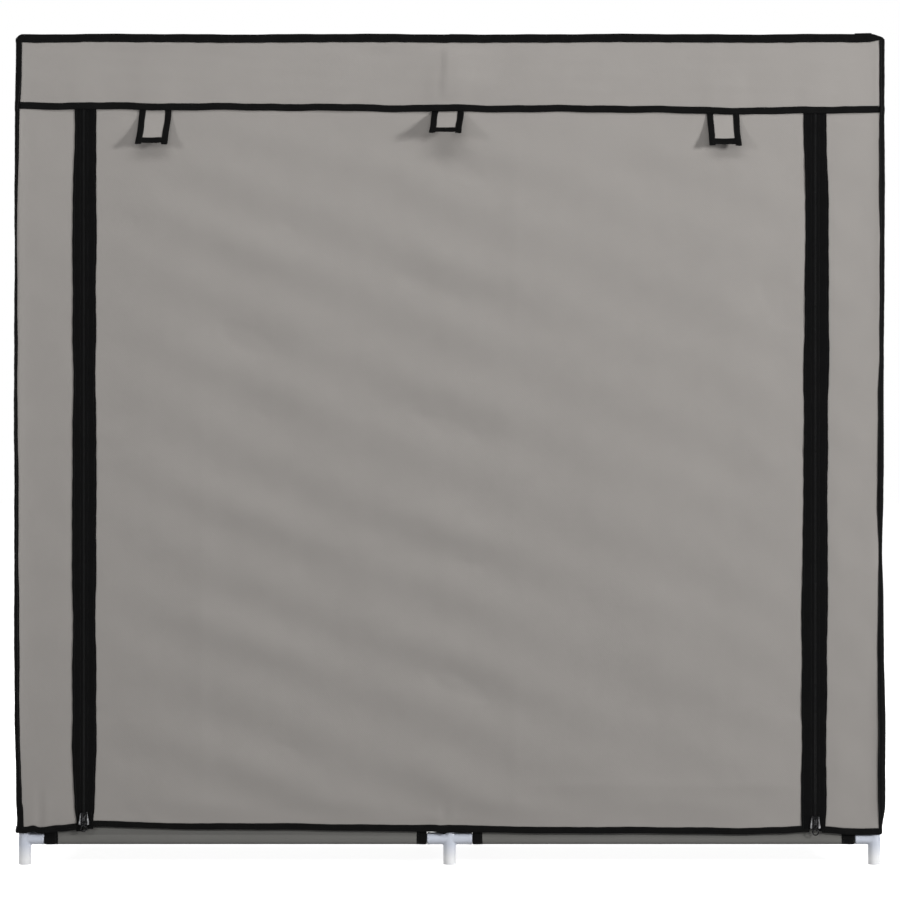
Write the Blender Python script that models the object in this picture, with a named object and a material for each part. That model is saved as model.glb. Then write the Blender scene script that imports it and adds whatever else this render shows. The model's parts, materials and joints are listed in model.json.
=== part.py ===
"""A free-standing fabric shoe cabinet: a tube frame with moulded connectors, twelve sling shelves and a
zip-up cover whose front door rolls up. Metres, +Z up, front towards -Y, origin on the floor under the middle."""

import math

import bmesh
import bpy
from mathutils import Vector

MM = 0.001

# Overall size of the covered cabinet, without the straps and sliders that stand proud of its front
WIDTH = 1150 * MM
DEPTH = 280 * MM
HEIGHT = 1100 * MM

# Clearances and cutter overrun
SEAT_GAP = 0.3 * MM
FRONT_SLACK = 1.3 * MM
OVERRUN = 5 * MM

# Cloth of the cover and the tape that binds its edges
CLOTH = 1.0 * MM
BINDING = 1.2 * MM
HEM_BINDING = 1.35 * MM
HEM_WIDTH = 8 * MM
HEM_WRAP = 0.3 * MM
CORNER_BINDING_WIDTH = 6.6 * MM
CORNER_RADIUS = 5 * MM
CORNER_STEPS = 3
TOP_SEAM_HEIGHT = 9 * MM
TOP_SEAM_THICK = 3 * MM
HEADER_DROP = 91 * MM
HEM_Z = 42 * MM

# Frame
TIERS = 6
BOTTOM_RAIL_Z = 34.5 * MM
TUBE_RADIUS = 6 * MM
TUBE_WALL = 0.5 * MM
TUBE_SIDES = 10
POST_SOCKET_RADIUS = 8 * MM
POST_SOCKET_REACH = 26 * MM
ARM_RADIUS = 7.4 * MM
ARM_REACH = 30 * MM
SOCKET_DEPTH = 22 * MM
FOOT_BEVEL = 0.8 * MM
CAP_RISE = 14.2 * MM
CAP_BEVEL = 2 * MM

# Sling shelves
SHELF_CLOTH = 1.0 * MM
SHELF_SAG = 5 * MM
SAG_STEPS = 4
SLEEVE_STEPS = 8
SLEEVE_JOIN_DEG = 60

# Zips: distance of the centre line from the side, tapes and rows of teeth
ZIP_INSET = 90.5 * MM
TAPE_WIDTH = 15.5 * MM
TAPE = 0.6 * MM
TAPE_END_Z = 45 * MM
ROW_GAP = 1.6 * MM
ROW_WIDTH = 1.8 * MM
ROW_THICK = 1.6 * MM

# Zip sliders, wide at the mouth below and narrow above, each with a crown that holds its pull
SLIDER_MOUTH_WIDTH = 14 * MM
SLIDER_TAIL_WIDTH = 9.5 * MM
SLIDER_HEIGHT = 16.5 * MM
SLIDER_ROUND = 1.6 * MM
SLIDER_PLATE = 1.2 * MM
SLIDER_BACK_PLATE = 1.0 * MM
CHANNEL_MOUTH_WIDTH = 10.5 * MM
CHANNEL_TAIL_WIDTH = 6.4 * MM
SLIDER_Z = {"left": 62 * MM, "right": 57 * MM}
CROWN_HEIGHT = 7.2 * MM
CROWN_WIDTH = 2.0 * MM
CROWN_RISE = 4.0 * MM
CROWN_FOOT = 1.8 * MM
CROWN_BAR = 1.2 * MM
CROWN_CHAMFER = 0.7 * MM

# Zip pulls, hung by an eye whose top bar lies inside the crown
PULL_THICK = 1.2 * MM
PULL_LENGTH = 17.5 * MM
PULL_BAR = 1.4 * MM
PULL_EYE_HOLE = 2.3 * MM
PULL_RING_RADIUS = 4.7 * MM
PULL_RING_HOLE = 3.1 * MM
PULL_NECK = 3.4 * MM
PULL_STEPS = 12

# Door cloth: columns across, rows in each tier, and the folds that swell between the rails
DOOR_COLUMNS = 16
ROWS_PER_TIER = 4
DOOR_FOLD = 4 * MM
DOOR_FOLD_SPACING = 236 * MM
DOOR_FOLD_SLANT_SHARE = 0.55
DOOR_CALM_EDGE = 45 * MM

# Straps that hold the rolled door, hung at these shares of half the width
STRAP_WIDTH = 42 * MM
STRAP_LENGTH = 46 * MM
STRAP_CLOTH = 1.5 * MM
STRAP_BINDING_WIDTH = 8 * MM
STRAP_BINDING_RISE = 0.3 * MM
STRAP_PLACE_SHARES = {"left": -0.678, "middle": -0.004, "right": 0.630}
STRAP_LEAN_DEG = {"left": 22, "middle": 48, "right": 17}

# Places worked out from the sizes above
PROUD = BINDING + SEAT_GAP
SIDE_X = WIDTH / 2 - PROUD
FACE_Y = DEPTH / 2 - PROUD
ZIP_X = WIDTH / 2 - ZIP_INSET
ROOF_Z = HEIGHT - TOP_SEAM_HEIGHT
HEADER_Z = ROOF_Z - HEADER_DROP
POST_X = SIDE_X - CLOTH - SEAT_GAP - POST_SOCKET_RADIUS
FRONT_POST_Y = -(FACE_Y - CLOTH - FRONT_SLACK - POST_SOCKET_RADIUS)
REAR_POST_Y = FACE_Y - CLOTH - SEAT_GAP - POST_SOCKET_RADIUS
POST_TOP_Z = ROOF_Z - CLOTH - SEAT_GAP
LEVEL_PITCH = (POST_TOP_Z - CAP_RISE - BOTTOM_RAIL_Z) / TIERS
PANEL_TOP_Z = POST_TOP_Z
PANEL_BOTTOM_Z = HEM_Z + HEM_WRAP
RAIL_INSET = ARM_REACH - SOCKET_DEPTH + SEAT_GAP
BORE_RADIUS = TUBE_RADIUS + SEAT_GAP
SLEEVE_RADIUS = BORE_RADIUS + SHELF_CLOTH
CLOTH_EDGE_FROM_ZIP = SLIDER_MOUTH_WIDTH / 2 + 2 * SEAT_GAP
STRIP_EDGE_X = ZIP_X + CLOTH_EDGE_FROM_ZIP
DOOR_EDGE_X = ZIP_X - CLOTH_EDGE_FROM_ZIP
DOOR_BOTTOM_Z = HEM_Z + HEM_WIDTH + SEAT_GAP
HEADER_END_X = SIDE_X - CORNER_BINDING_WIDTH - SEAT_GAP
TAPE_BACK_Y = FACE_Y + SEAT_GAP
TAPE_FRONT_Y = TAPE_BACK_Y + TAPE
ROW_FRONT_Y = (TAPE_BACK_Y + TAPE_FRONT_Y + ROW_THICK) / 2
ROW_BACK_Y = ROW_FRONT_Y - ROW_THICK
PLATE_BACK_Y = ROW_FRONT_Y + SEAT_GAP
PLATE_FRONT_Y = PLATE_BACK_Y + SLIDER_PLATE
PULL_AXIS_Y = PLATE_FRONT_Y + (CROWN_RISE - CROWN_BAR) / 2
PULL_AXIS_RISE = CROWN_FOOT + SEAT_GAP + PULL_BAR - CROWN_HEIGHT / 2
STRAP_THICK = STRAP_CLOTH + 2 * STRAP_BINDING_RISE
STRAP_AXIS_Y = FACE_Y + SEAT_GAP
STRAP_AXIS_Z = HEADER_Z - STRAP_THICK
STRAP_MOST_LEAN = math.radians(max(STRAP_LEAN_DEG.values()))
STRAP_REACH = STRAP_LENGTH * math.sin(STRAP_MOST_LEAN) + STRAP_THICK * math.cos(STRAP_MOST_LEAN)
CENTRE_SHIFT_Y = (STRAP_AXIS_Y + STRAP_REACH - DEPTH / 2) / 2

COLUMNS = {"left": -1, "right": 1}


def level_z(level):
    """Height of the rails of a level, counted up from the bottom shelf."""
    return BOTTOM_RAIL_Z + level * LEVEL_PITCH


def clear_scene():
    for obj in list(bpy.data.objects):
        bpy.data.objects.remove(obj)


def make_material(name, colour, roughness, metallic=0.0):
    material = bpy.data.materials.new(name)
    material.use_nodes = True
    shader = material.node_tree.nodes["Principled BSDF"]
    shader.inputs["Base Color"].default_value = (*colour, 1.0)
    shader.inputs["Roughness"].default_value = roughness
    shader.inputs["Metallic"].default_value = metallic
    material.diffuse_color = (*colour, 1.0)
    return material


def add_object(name, data, material=None, parent=None, location=(0, 0, 0), rotation=(0, 0, 0)):
    obj = bpy.data.objects.new(name, data)
    bpy.context.scene.collection.objects.link(obj)
    obj.location = location
    obj.rotation_euler = rotation
    obj.parent = parent
    if material and not data.materials:
        data.materials.append(material)
    return obj


def mesh_from(name, points, faces):
    """A closed mesh whose faces are turned outwards."""
    mesh = bpy.data.meshes.new(name)
    mesh.from_pydata(points, [], faces)
    form = bmesh.new()
    form.from_mesh(mesh)
    bmesh.ops.recalc_face_normals(form, faces=form.faces)
    form.to_mesh(mesh)
    form.free()
    return mesh


def smooth(mesh, angle=math.radians(50)):
    mesh.shade_smooth()
    mesh.set_sharp_from_angle(angle=angle)


def loft_mesh(name, rings, closed=False):
    """A skin over rings of equally many points, capped at both ends or closed on itself."""
    count = len(rings[0])
    points = [point for ring in rings for point in ring]
    faces = []
    for ring in range(len(rings) if closed else len(rings) - 1):
        here, there = ring * count, (ring + 1) % len(rings) * count
        for step in range(count):
            after = (step + 1) % count
            faces.append((here + step, here + after, there + after, there + step))
    if not closed:
        faces.append(tuple(range(count)))
        faces.append(tuple((len(rings) - 1) * count + step for step in range(count)))
    return mesh_from(name, points, faces)


def prism_mesh(name, outline, low, high, axes="XYZ"):
    """An outline in the first two axes named, extruded along the third from low to high."""
    order = [axes.index(axis) for axis in "XYZ"]
    rings = [[tuple((u, v, w)[i] for i in order) for u, v in outline] for w in (low, high)]
    return loft_mesh(name, rings)


def rectangle(low, high):
    """Outline of a rectangle between two corners."""
    return [(low[0], low[1]), (high[0], low[1]), (high[0], high[1]), (low[0], high[1])]


def box_mesh(name, low, high):
    return prism_mesh(name, rectangle(low, high), low[2], high[2])


def arc(centre, radius, start_deg, end_deg, steps):
    """Points of an arc, both ends included."""
    angles = [math.radians(start_deg + (end_deg - start_deg) * i / steps) for i in range(steps + 1)]
    return [(centre[0] + radius * math.cos(a), centre[1] + radius * math.sin(a)) for a in angles]


def circle(centre, radius, sides, start_deg=0):
    """Corners of a regular outline."""
    return arc(centre, radius, start_deg, start_deg + 360 * (1 - 1 / sides), sides - 1)


def turned_mesh(name, profile, hollow=False):
    """A turned solid about Z from (radius, height) pairs; a hollow one closes its profile on itself."""
    rings = []
    for radius, height in profile:
        rings.append([(x, y, height) for x, y in circle((0, 0), radius, TUBE_SIDES)])
    mesh = loft_mesh(name, rings, closed=hollow)
    smooth(mesh)
    return mesh


def extruded_curve(name, loops, length):
    """A flat outline, with its holes, extruded to both sides of its plane."""
    curve = bpy.data.curves.new(name, "CURVE")
    curve.dimensions = "2D"
    curve.fill_mode = "BOTH"
    curve.extrude = length / 2
    for loop in loops:
        spline = curve.splines.new("POLY")
        spline.points.add(len(loop) - 1)
        for point, (u, v) in zip(spline.points, loop):
            point.co = (u, v, 0, 1)
        spline.use_cyclic_u = True
    return curve


def add_operand(name, data, parent, location=(0, 0, 0), rotation=(0, 0, 0)):
    """An operand of a Boolean, left out of renders."""
    operand = add_object(name, data, None, parent, location, rotation)
    operand.hide_render = True
    operand.display_type = "WIRE"
    return operand


def combine(obj, operation, operands):
    """Joins operands to an object, or cuts them from it."""
    group = bpy.data.collections.new(f"{obj.name}_{operation.lower()}")
    bpy.context.scene.collection.children.link(group)
    for operand in operands:
        bpy.context.scene.collection.objects.unlink(operand)
        group.objects.link(operand)
    modifier = obj.modifiers.new(operation.title(), "BOOLEAN")
    modifier.operation = operation
    modifier.solver = "EXACT"
    modifier.operand_type = "COLLECTION"
    modifier.collection = group


def post_profile():
    """Foot, sockets and tubes of one upright, from the floor to the cap under the roof."""
    profile = [(POST_SOCKET_RADIUS - FOOT_BEVEL, 0), (POST_SOCKET_RADIUS, FOOT_BEVEL)]
    for level in range(TIERS):
        socket_top = level_z(level) + POST_SOCKET_REACH
        next_socket = level_z(level + 1) - POST_SOCKET_REACH
        profile += [
            (POST_SOCKET_RADIUS, socket_top),
            (TUBE_RADIUS, socket_top),
            (TUBE_RADIUS, next_socket),
            (POST_SOCKET_RADIUS, next_socket),
        ]
    profile += [
        (POST_SOCKET_RADIUS, POST_TOP_Z - CAP_BEVEL),
        (POST_SOCKET_RADIUS - CAP_BEVEL, POST_TOP_Z),
    ]
    return profile


def rung_profile():
    """A depth tube between the sockets of the front and the rear connector, from axis to axis."""
    span = REAR_POST_Y - FRONT_POST_Y
    return [
        (ARM_RADIUS, 0),
        (ARM_RADIUS, ARM_REACH),
        (TUBE_RADIUS, ARM_REACH),
        (TUBE_RADIUS, span - ARM_REACH),
        (ARM_RADIUS, span - ARM_REACH),
        (ARM_RADIUS, span),
    ]


def add_ladder(name, x, sides, material, cabinet):
    """Two uprights and their rungs, with open sockets for the rails on the sides given."""
    post = turned_mesh(f"{name}_post", post_profile())
    rung = turned_mesh(f"{name}_rung", rung_profile())
    arm = turned_mesh(f"{name}_arm", [(ARM_RADIUS, 0), (ARM_RADIUS, ARM_REACH)])
    bore_start = ARM_REACH - SOCKET_DEPTH
    bore = turned_mesh(f"{name}_bore", [(BORE_RADIUS, bore_start), (BORE_RADIUS, ARM_REACH + OVERRUN)])
    ladder = add_object(name, post, material, cabinet, (x, FRONT_POST_Y, 0))
    joined = [add_operand(f"{name}_rear_post", post.copy(), cabinet, (x, REAR_POST_Y, 0))]
    bored = []
    for level in range(TIERS + 1):
        z = level_z(level)
        place = (x, FRONT_POST_Y, z)
        joined.append(add_operand(f"{name}_rung_{level}", rung, cabinet, place, (-math.pi / 2, 0, 0)))
        for y in (FRONT_POST_Y, REAR_POST_Y):
            for side in sides:
                turn = (0, side * math.pi / 2, 0)
                joined.append(add_operand(f"{name}_arm_{level}", arm, cabinet, (x, y, z), turn))
                bored.append(add_operand(f"{name}_bore_{level}", bore, cabinet, (x, y, z), turn))
    combine(ladder, "UNION", joined)
    combine(ladder, "DIFFERENCE", bored)


def add_rails(material, cabinet):
    """Long tubes pushed into the sockets of the ladders, front and rear, at every level."""
    length = POST_X - 2 * RAIL_INSET
    inner = TUBE_RADIUS - TUBE_WALL
    profile = [(inner, 0), (TUBE_RADIUS, 0), (TUBE_RADIUS, length), (inner, length)]
    mesh = turned_mesh("rail", profile, hollow=True)
    for column, side in COLUMNS.items():
        for edge, y in (("front", FRONT_POST_Y), ("rear", REAR_POST_Y)):
            for level in range(TIERS + 1):
                place = (side * RAIL_INSET, y, level_z(level))
                turn = (0, side * math.pi / 2, 0)
                add_object(f"{column}_{edge}_rail_{level}", mesh, material, cabinet, place, turn)


def shelf_loops():
    """Section of a sling shelf: a sagging sheet between two sleeves, drawn in Y and Z about the rails."""
    middle = (FRONT_POST_Y + REAR_POST_Y) / 2
    half = (REAR_POST_Y - FRONT_POST_Y) / 2
    front, rear = (FRONT_POST_Y, 0), (REAR_POST_Y, 0)

    def sagged(height, start, end):
        points = []
        for step in range(1, SAG_STEPS):
            y = start + (end - start) * step / SAG_STEPS
            points.append((y, height - SHELF_SAG * (1 - ((y - middle) / half) ** 2)))
        return points

    join = SLEEVE_RADIUS * math.cos(math.radians(SLEEVE_JOIN_DEG))
    outline = arc(front, SLEEVE_RADIUS, 90, 360 + SLEEVE_JOIN_DEG, SLEEVE_STEPS)
    outline += sagged(SLEEVE_RADIUS - SHELF_CLOTH, front[0] + join, rear[0] - join)
    outline += arc(rear, SLEEVE_RADIUS, 180 - SLEEVE_JOIN_DEG, 450, SLEEVE_STEPS)
    outline += sagged(SLEEVE_RADIUS, rear[0], front[0])
    bores = [circle(centre, BORE_RADIUS, TUBE_SIDES, 90) for centre in (front, rear)]
    return [outline, *bores]


def add_shelves(material, cabinet):
    """Twelve sling shelves, each between two ladders with its sleeves round a front and a rear rail."""
    near = ARM_REACH + SEAT_GAP
    far = POST_X - ARM_REACH - SEAT_GAP
    curve = extruded_curve("shelf", shelf_loops(), far - near)
    for column, side in COLUMNS.items():
        for level in range(TIERS):
            place = (side * (near + far) / 2, 0, level_z(level))
            turn = (math.pi / 2, 0, math.pi / 2)
            add_object(f"{column}_shelf_{level}", curve, material, cabinet, place, turn)


def wrap_outline(side, start_x, outer, inner, bound_corners):
    """Plan of cloth from the front, round both corners of one side, to the back of the cabinet."""
    end_x = SIDE_X - CORNER_BINDING_WIDTH
    flat_y = FACE_Y - CORNER_BINDING_WIDTH
    front_corner = (SIDE_X - CORNER_RADIUS, CORNER_RADIUS - FACE_Y)
    rear_corner = (SIDE_X - CORNER_RADIUS, FACE_Y - CORNER_RADIUS)
    rise = BINDING if bound_corners else outer
    outline = [(start_x, -FACE_Y - outer)]
    if bound_corners:
        outline += [(end_x, -FACE_Y - outer), (end_x, -FACE_Y - rise)]
    outline += arc(front_corner, CORNER_RADIUS + rise, -90, 0, CORNER_STEPS)
    if bound_corners:
        outline += [(SIDE_X + rise, -flat_y), (SIDE_X + outer, -flat_y)]
        outline += [(SIDE_X + outer, flat_y), (SIDE_X + rise, flat_y)]
    outline += arc(rear_corner, CORNER_RADIUS + rise, 0, 90, CORNER_STEPS)
    outline += [(end_x, FACE_Y + rise), (end_x, FACE_Y - inner)]
    outline += arc(rear_corner, CORNER_RADIUS - inner, 90, 0, CORNER_STEPS)
    outline += arc(front_corner, CORNER_RADIUS - inner, 0, -90, CORNER_STEPS)
    outline += [(start_x, inner - FACE_Y)]
    return [(side * x, y) for x, y in outline]


def add_side_panels(cloth, cabinet):
    """The sides of the cover, whose cloth turns the front corners and ends in the strips beside the zips."""
    for column, side in COLUMNS.items():
        name = f"{column}_side_panel"
        plan = wrap_outline(side, STRIP_EDGE_X, 0, CLOTH, True)
        panel = add_object(name, prism_mesh(name, plan, PANEL_BOTTOM_Z, PANEL_TOP_Z), cloth, cabinet)
        hem_plan = wrap_outline(side, ZIP_X + TAPE_WIDTH + SEAT_GAP, HEM_BINDING, CLOTH / 2, False)
        hem = prism_mesh(f"{name}_hem", hem_plan, HEM_Z, HEM_Z + HEM_WIDTH)
        combine(panel, "UNION", [add_operand(f"{name}_hem", hem, cabinet)])
        near, far = sorted((side * (STRIP_EDGE_X - OVERRUN), side * (SIDE_X - CORNER_BINDING_WIDTH)))
        low = (near, -FACE_Y - OVERRUN, HEADER_Z - SEAT_GAP)
        high = (far, CLOTH + OVERRUN - FACE_Y, PANEL_TOP_Z + OVERRUN)
        notch = add_operand(f"{name}_notch", box_mesh(f"{name}_notch", low, high), cabinet)
        combine(panel, "DIFFERENCE", [notch])


def bound_section(face, outward, bottom, top):
    """Section in Y and Z of a flat panel with the binding of its lower edge."""
    back = face - outward * CLOTH
    proud = face + outward * BINDING
    return [
        (back, bottom),
        (proud, bottom),
        (proud, bottom + HEM_WIDTH),
        (face, bottom + HEM_WIDTH),
        (face, top),
        (back, top),
    ]


def add_flat_panels(cloth, trim, cabinet):
    """Header across the front, back, roof and the standing seam round the roof."""
    bottom = HEADER_Z + SEAT_GAP
    header = bound_section(-FACE_Y, -1, bottom, PANEL_TOP_Z)
    mesh = prism_mesh("header_panel", header, -HEADER_END_X, HEADER_END_X, "YZX")
    add_object("header_panel", mesh, cloth, cabinet)
    back = bound_section(FACE_Y, 1, HEM_Z, PANEL_TOP_Z)
    mesh = prism_mesh("back_panel", back, -HEADER_END_X, HEADER_END_X, "YZX")
    add_object("back_panel", mesh, cloth, cabinet)
    mesh = prism_mesh("roof_panel", roof_outline(0), ROOF_Z - CLOTH, ROOF_Z)
    add_object("roof_panel", mesh, cloth, cabinet)
    low, high = ROOF_Z + SEAT_GAP, HEIGHT
    section = [(PROUD, low), (PROUD, high), (PROUD - TOP_SEAM_THICK, high), (PROUD - TOP_SEAM_THICK, low)]
    loops = [[(x, y, z) for x, y in roof_outline(proud)] for proud, z in section]
    add_object("top_seam", loft_mesh("top_seam", loops, closed=True), trim, cabinet)


def roof_outline(proud):
    """Plan of the roof, its edge moved outwards by a distance."""
    x, y = SIDE_X - CORNER_RADIUS, FACE_Y - CORNER_RADIUS
    outline = []
    for centre, start_deg in (((x, y), 0), ((-x, y), 90), ((-x, -y), 180), ((x, -y), 270)):
        outline += arc(centre, CORNER_RADIUS + proud, start_deg, start_deg + 90, CORNER_STEPS)
    return outline


def add_zip_tapes(trim, cabinet):
    """The halves of the zips that are sewn to the side strips, each with its row of teeth."""
    near = ZIP_X + ROW_GAP / 2
    for column, side in COLUMNS.items():
        section = [
            (near, -ROW_BACK_Y),
            (near, -ROW_FRONT_Y),
            (near + ROW_WIDTH, -ROW_FRONT_Y),
            (near + ROW_WIDTH, -TAPE_FRONT_Y),
            (ZIP_X + TAPE_WIDTH, -TAPE_FRONT_Y),
            (ZIP_X + TAPE_WIDTH, -TAPE_BACK_Y),
            (near + ROW_WIDTH, -TAPE_BACK_Y),
            (near + ROW_WIDTH, -ROW_BACK_Y),
        ]
        plan = [(side * x, y) for x, y in section]
        name = f"{column}_zip_tape"
        add_object(name, prism_mesh(name, plan, TAPE_END_Z, HEADER_Z), trim, cabinet)


def door_relief(x, z):
    """How far the door cloth swells out between the rails, in folds that slant down to the right."""
    tier = math.sin(math.pi * (z - BOTTOM_RAIL_Z) / LEVEL_PITCH) ** 2
    fold = 0.5 + 0.5 * math.cos(math.tau * (x + DOOR_FOLD_SLANT_SHARE * z) / DOOR_FOLD_SPACING)
    from_edge = min(DOOR_EDGE_X - abs(x), z - DOOR_BOTTOM_Z, HEADER_Z - z)
    calm = min(1, from_edge / DOOR_CALM_EDGE)
    return DOOR_FOLD * tier * fold * calm


def door_section(z):
    """Section of the door at a height: zip halves at both edges, cloth between them."""
    near = ZIP_X - ROW_GAP / 2
    inner = ZIP_X - TAPE_WIDTH
    front_edge = [
        (near, ROW_BACK_Y),
        (near, ROW_FRONT_Y),
        (near - ROW_WIDTH, ROW_FRONT_Y),
        (near - ROW_WIDTH, TAPE_FRONT_Y),
        (inner, TAPE_FRONT_Y),
        (inner, FACE_Y),
    ]
    back_edge = [
        (DOOR_EDGE_X, FACE_Y - CLOTH),
        (DOOR_EDGE_X, TAPE_BACK_Y),
        (near - ROW_WIDTH, TAPE_BACK_Y),
        (near - ROW_WIDTH, ROW_BACK_Y),
    ]
    xs = [-inner + 2 * inner * column / DOOR_COLUMNS for column in range(1, DOOR_COLUMNS)]
    front = [(-x, y) for x, y in front_edge]
    front += [(x, FACE_Y + door_relief(x, z)) for x in xs]
    front += reversed(front_edge)
    back = [(x, y) for x, y in reversed(back_edge)]
    back += [(x, FACE_Y - CLOTH + door_relief(x, z)) for x in reversed(xs)]
    back += [(-x, y) for x, y in back_edge]
    return [(x, -y, z) for x, y in front + back]


def add_door(cloth, trim, cabinet):
    """The door cloth with its zip halves, and the bound hem that is pulled up to roll it."""
    heights = [level_z(row / ROWS_PER_TIER) for row in range(1, TIERS * ROWS_PER_TIER)]
    heights = [z for z in heights if DOOR_BOTTOM_Z + HEM_WIDTH < z < HEADER_Z - HEM_WIDTH]
    rings = [door_section(z) for z in (DOOR_BOTTOM_Z, *heights, HEADER_Z)]
    mesh = loft_mesh("door_panel", rings)
    smooth(mesh, math.radians(30))
    add_object("door_panel", mesh, cloth, cabinet)
    middle_y = -(FACE_Y - CLOTH / 2)
    half = CLOTH / 2 + BINDING
    low, high = -HEM_WIDTH / 2, HEM_WIDTH / 2
    round_edge = [(CLOTH / 2, low), (-CLOTH / 2, low), (-half, low + BINDING), (-half, high)]
    round_edge += [(CLOTH / 2, high)]
    mesh = prism_mesh("door_hem", round_edge, -DOOR_EDGE_X, DOOR_EDGE_X, "YZX")
    add_object("door_hem", mesh, trim, cabinet, (0, middle_y, HEM_Z + HEM_WIDTH / 2))


def slider_outline():
    """Face of a slider: a rounded shield, wide at the mouth below."""
    mouth = SLIDER_MOUTH_WIDTH / 2 - SLIDER_ROUND
    tail = SLIDER_TAIL_WIDTH / 2 - SLIDER_ROUND
    end = SLIDER_HEIGHT / 2 - SLIDER_ROUND
    steps = CORNER_STEPS
    outline = arc((mouth, -end), SLIDER_ROUND, -90, 0, steps) + arc((tail, end), SLIDER_ROUND, 0, 90, steps)
    outline += arc((-tail, end), SLIDER_ROUND, 90, 180, steps)
    outline += arc((-mouth, -end), SLIDER_ROUND, 180, 270, steps)
    return outline


def crown_outline():
    """Side view of a crown, from inside the front plate out to its bar, drawn in Y and Z."""
    half = CROWN_HEIGHT / 2
    plate = PLATE_FRONT_Y - SLIDER_PLATE / 2
    top = PLATE_FRONT_Y + CROWN_RISE
    outline = [
        (plate, -half),
        (top - CROWN_CHAMFER, -half),
        (top, CROWN_CHAMFER - half),
        (top, half - CROWN_CHAMFER),
        (top - CROWN_CHAMFER, half),
        (plate, half),
        (plate, half - CROWN_FOOT),
        (top - CROWN_BAR, half - CROWN_FOOT),
        (top - CROWN_BAR, CROWN_FOOT - half),
        (plate, CROWN_FOOT - half),
    ]
    return [(-y, z) for y, z in outline]


def pull_loops():
    """Face of a zip pull: an eye above, a neck, and a finger ring below, about the bar of the eye."""
    eye_radius = PULL_EYE_HOLE + PULL_BAR
    eye = (0, PULL_BAR / 2 - eye_radius)
    ring = (0, PULL_RING_RADIUS - PULL_LENGTH)
    eye_deg = math.degrees(math.asin(PULL_NECK / 2 / eye_radius))
    ring_deg = math.degrees(math.asin(PULL_NECK / 2 / PULL_RING_RADIUS))
    outline = arc(eye, eye_radius, eye_deg - 90, 270 - eye_deg, PULL_STEPS)
    outline += arc(ring, PULL_RING_RADIUS, 90 + ring_deg, 450 - ring_deg, PULL_STEPS)
    return [outline, circle(eye, PULL_EYE_HOLE, PULL_STEPS), circle(ring, PULL_RING_HOLE, PULL_STEPS)]


def slider_channel(name, front, back, cabinet, place):
    """Cutter for the way of the teeth through a slider, wide at the mouth below, between two depths."""
    mouth, tail = CHANNEL_MOUTH_WIDTH / 2, CHANNEL_TAIL_WIDTH / 2
    end = SLIDER_HEIGHT / 2 + OVERRUN
    outline = [(-mouth, -end), (mouth, -end), (tail, 0), (tail, end), (-tail, end), (-tail, 0)]
    return add_operand(name, prism_mesh(name, outline, -front, -back, "XZY"), cabinet, place)


def add_sliders(metal, cabinet):
    """Zip sliders astride the two rows of teeth, each with its pull hung in the crown.

    A front and a back plate, with flanges that leave a slot for the tapes, are joined by a web between the rows."""
    face = slider_outline()
    flange_front, flange_back = TAPE_FRONT_Y + SEAT_GAP, TAPE_BACK_Y - SEAT_GAP
    back_front = ROW_BACK_Y - SEAT_GAP
    back_back = back_front - SLIDER_BACK_PLATE
    web_half = ROW_GAP / 2 - SEAT_GAP
    web_end = SLIDER_HEIGHT / 2 - SLIDER_ROUND
    web_face = rectangle((-web_half, -web_end), (web_half, web_end))
    pull = extruded_curve("zip_pull", pull_loops(), PULL_THICK)
    for column, side in COLUMNS.items():
        name = f"{column}_slider"
        place = (side * ZIP_X, 0, SLIDER_Z[column])
        front = prism_mesh(name, face, -PLATE_FRONT_Y, -flange_front, "XZY")
        slider = add_object(name, front, metal, cabinet, place)
        channel = slider_channel(f"{name}_front_channel", PLATE_BACK_Y, flange_front - OVERRUN, cabinet, place)
        combine(slider, "DIFFERENCE", [channel])
        back_mesh = prism_mesh(f"{name}_back", face, -flange_back, -back_back, "XZY")
        back = add_operand(f"{name}_back", back_mesh, cabinet, place)
        channel = slider_channel(f"{name}_back_channel", flange_back + OVERRUN, back_front, cabinet, place)
        combine(back, "DIFFERENCE", [channel])
        web_front = PLATE_BACK_Y + SLIDER_PLATE / 2
        web_back = back_front - SLIDER_BACK_PLATE / 2
        web = prism_mesh(f"{name}_web", web_face, -web_front, -web_back, "XZY")
        crown = prism_mesh(f"{name}_crown", crown_outline(), -CROWN_WIDTH / 2, CROWN_WIDTH / 2, "YZX")
        parts = {"web": web, "crown": crown}
        joined = [add_operand(f"{name}_{key}", mesh, cabinet, place) for key, mesh in parts.items()]
        combine(slider, "UNION", [back, *joined])
        hang = (0, -PULL_AXIS_Y, PULL_AXIS_RISE)
        add_object(f"{column}_pull", pull, metal, slider, hang, (math.pi / 2, 0, 0))


def add_straps(cloth, cabinet):
    """Straps sewn under the header hem, each a cloth flap with raised binding on its three free edges."""
    half = STRAP_WIDTH / 2
    for name, share in STRAP_PLACE_SHARES.items():
        strap_name = f"{name}_strap"
        place = (share * WIDTH / 2, -STRAP_AXIS_Y, STRAP_AXIS_Z)
        lean = (-math.radians(STRAP_LEAN_DEG[name]), 0, 0)
        body = box_mesh(strap_name, (-half, -STRAP_THICK, -STRAP_LENGTH), (half, 0, 0))
        strap = add_object(strap_name, body, cloth, cabinet, place, lean)
        inner = half - STRAP_BINDING_WIDTH
        bottom = STRAP_BINDING_WIDTH - STRAP_LENGTH
        fields = {
            "front": (-STRAP_THICK - OVERRUN, STRAP_BINDING_RISE - STRAP_THICK),
            "back": (-STRAP_BINDING_RISE, OVERRUN),
        }
        cutters = []
        for key, (near, far) in fields.items():
            cutter = box_mesh(f"{strap_name}_{key}", (-inner, near, bottom), (inner, far, OVERRUN))
            cutters.append(add_operand(cutter.name, cutter, cabinet, place, lean))
        combine(strap, "DIFFERENCE", cutters)


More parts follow.
